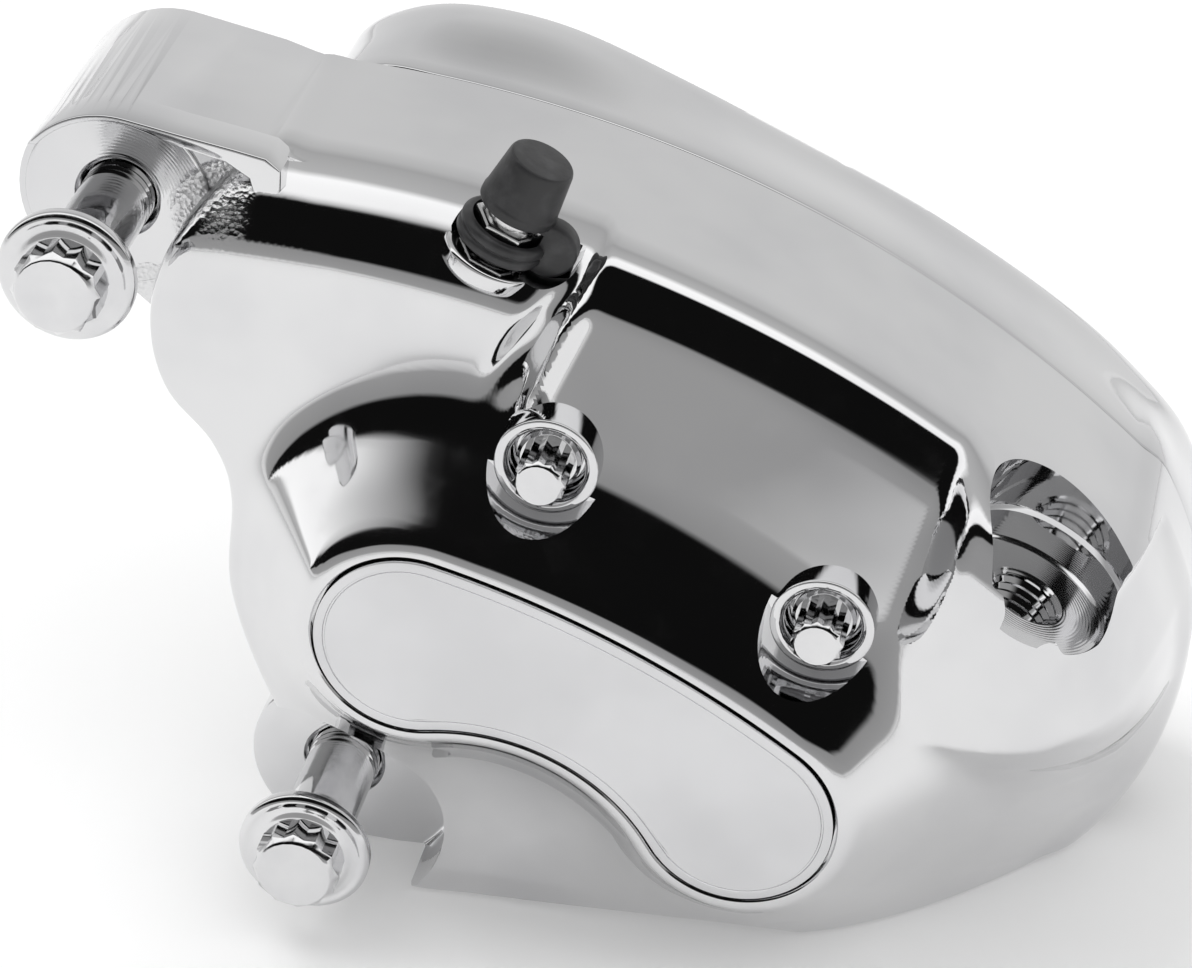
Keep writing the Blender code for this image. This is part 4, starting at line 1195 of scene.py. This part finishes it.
def makeStage():
    floor = bmesh.new()
    bmesh.ops.create_grid(floor, x_segments=1, y_segments=1, size=3.0)
    paper = Finish("paper", (0.84, 0.84, 0.84), 0.9, 0.0)
    paper.shader.inputs["Emission Color"].default_value = (1, 1, 1, 1)
    paper.shader.inputs["Emission Strength"].default_value = 0.18
    floor = newObject("floor", floor, paper.made)
    world = bpy.data.worlds.new("studio")
    bpy.context.scene.world = world
    world.use_nodes = True
    tree = world.node_tree
    back = tree.nodes["Background"]
    coords = addNode(tree, "ShaderNodeTexCoord")
    split = addNode(tree, "ShaderNodeSeparateXYZ", None, {0: coords.outputs["Generated"]})
    front = Num(tree, split.outputs["Y"]) * -1.0
    high = Num(tree, split.outputs["Z"])
    pitch = high.op("ARCTAN2", front) * (180 / math.pi)
    level = (pitch / 180.0 + 0.5) / 1.5
    stops = [((angle / 180 + 0.5) / 1.5, (value, value, value)) for angle, value in studioBands]
    ramp = addNode(tree, "ShaderNodeValToRGB", {"stops": stops}, {0: level})
    tree.links.new(ramp.outputs[0], back.inputs["Color"])
    back.inputs["Strength"].default_value = 1.0


def makeLight(name, at, aim, size, power):
    lamp = bpy.data.lights.new(name, "AREA")
    lamp.shape = "DISK"
    lamp.size = size
    lamp.energy = power
    made = bpy.data.objects.new(name, lamp)
    bpy.context.scene.collection.objects.link(made)
    turn = (Vector(at) - Vector(aim)).to_track_quat("Z", "Y").to_matrix().to_4x4()
    made.matrix_world = Matrix.Translation(at) @ turn
    made.visible_glossy = False


makeStage()
makeLight("softKey", (-0.55, 0.35, 1.25), (0, 0, 0.03), 1.0, 8.0)
makeLight("softFill", (0.5, -0.9, 1.0), (0, 0, 0.03), 1.4, 6.0)
bpy.context.scene.view_settings.view_transform = "Standard"

view = {"at": (0.09776, -0.50278, 0.35637), "forward": (-0.1695, 0.8421, -0.5120),
        "up": (-0.1010, 0.5019, 0.8590), "lens": 132.95}
camera = bpy.data.objects.new("camera", bpy.data.cameras.new("camera"))
bpy.context.scene.collection.objects.link(camera)
forward = Vector(view["forward"]).normalized()
upward = Vector(view["up"])
sideways = forward.cross(upward).normalized()
upward = sideways.cross(forward)
turn = Matrix((sideways, upward, -forward)).transposed().to_4x4()
camera.matrix_world = Matrix.Translation(view["at"]) @ turn
camera.data.lens = view["lens"]
camera.data.sensor_width = 36.0
camera.data.clip_start = 0.01
bpy.context.scene.camera = camera
print("studio ready")
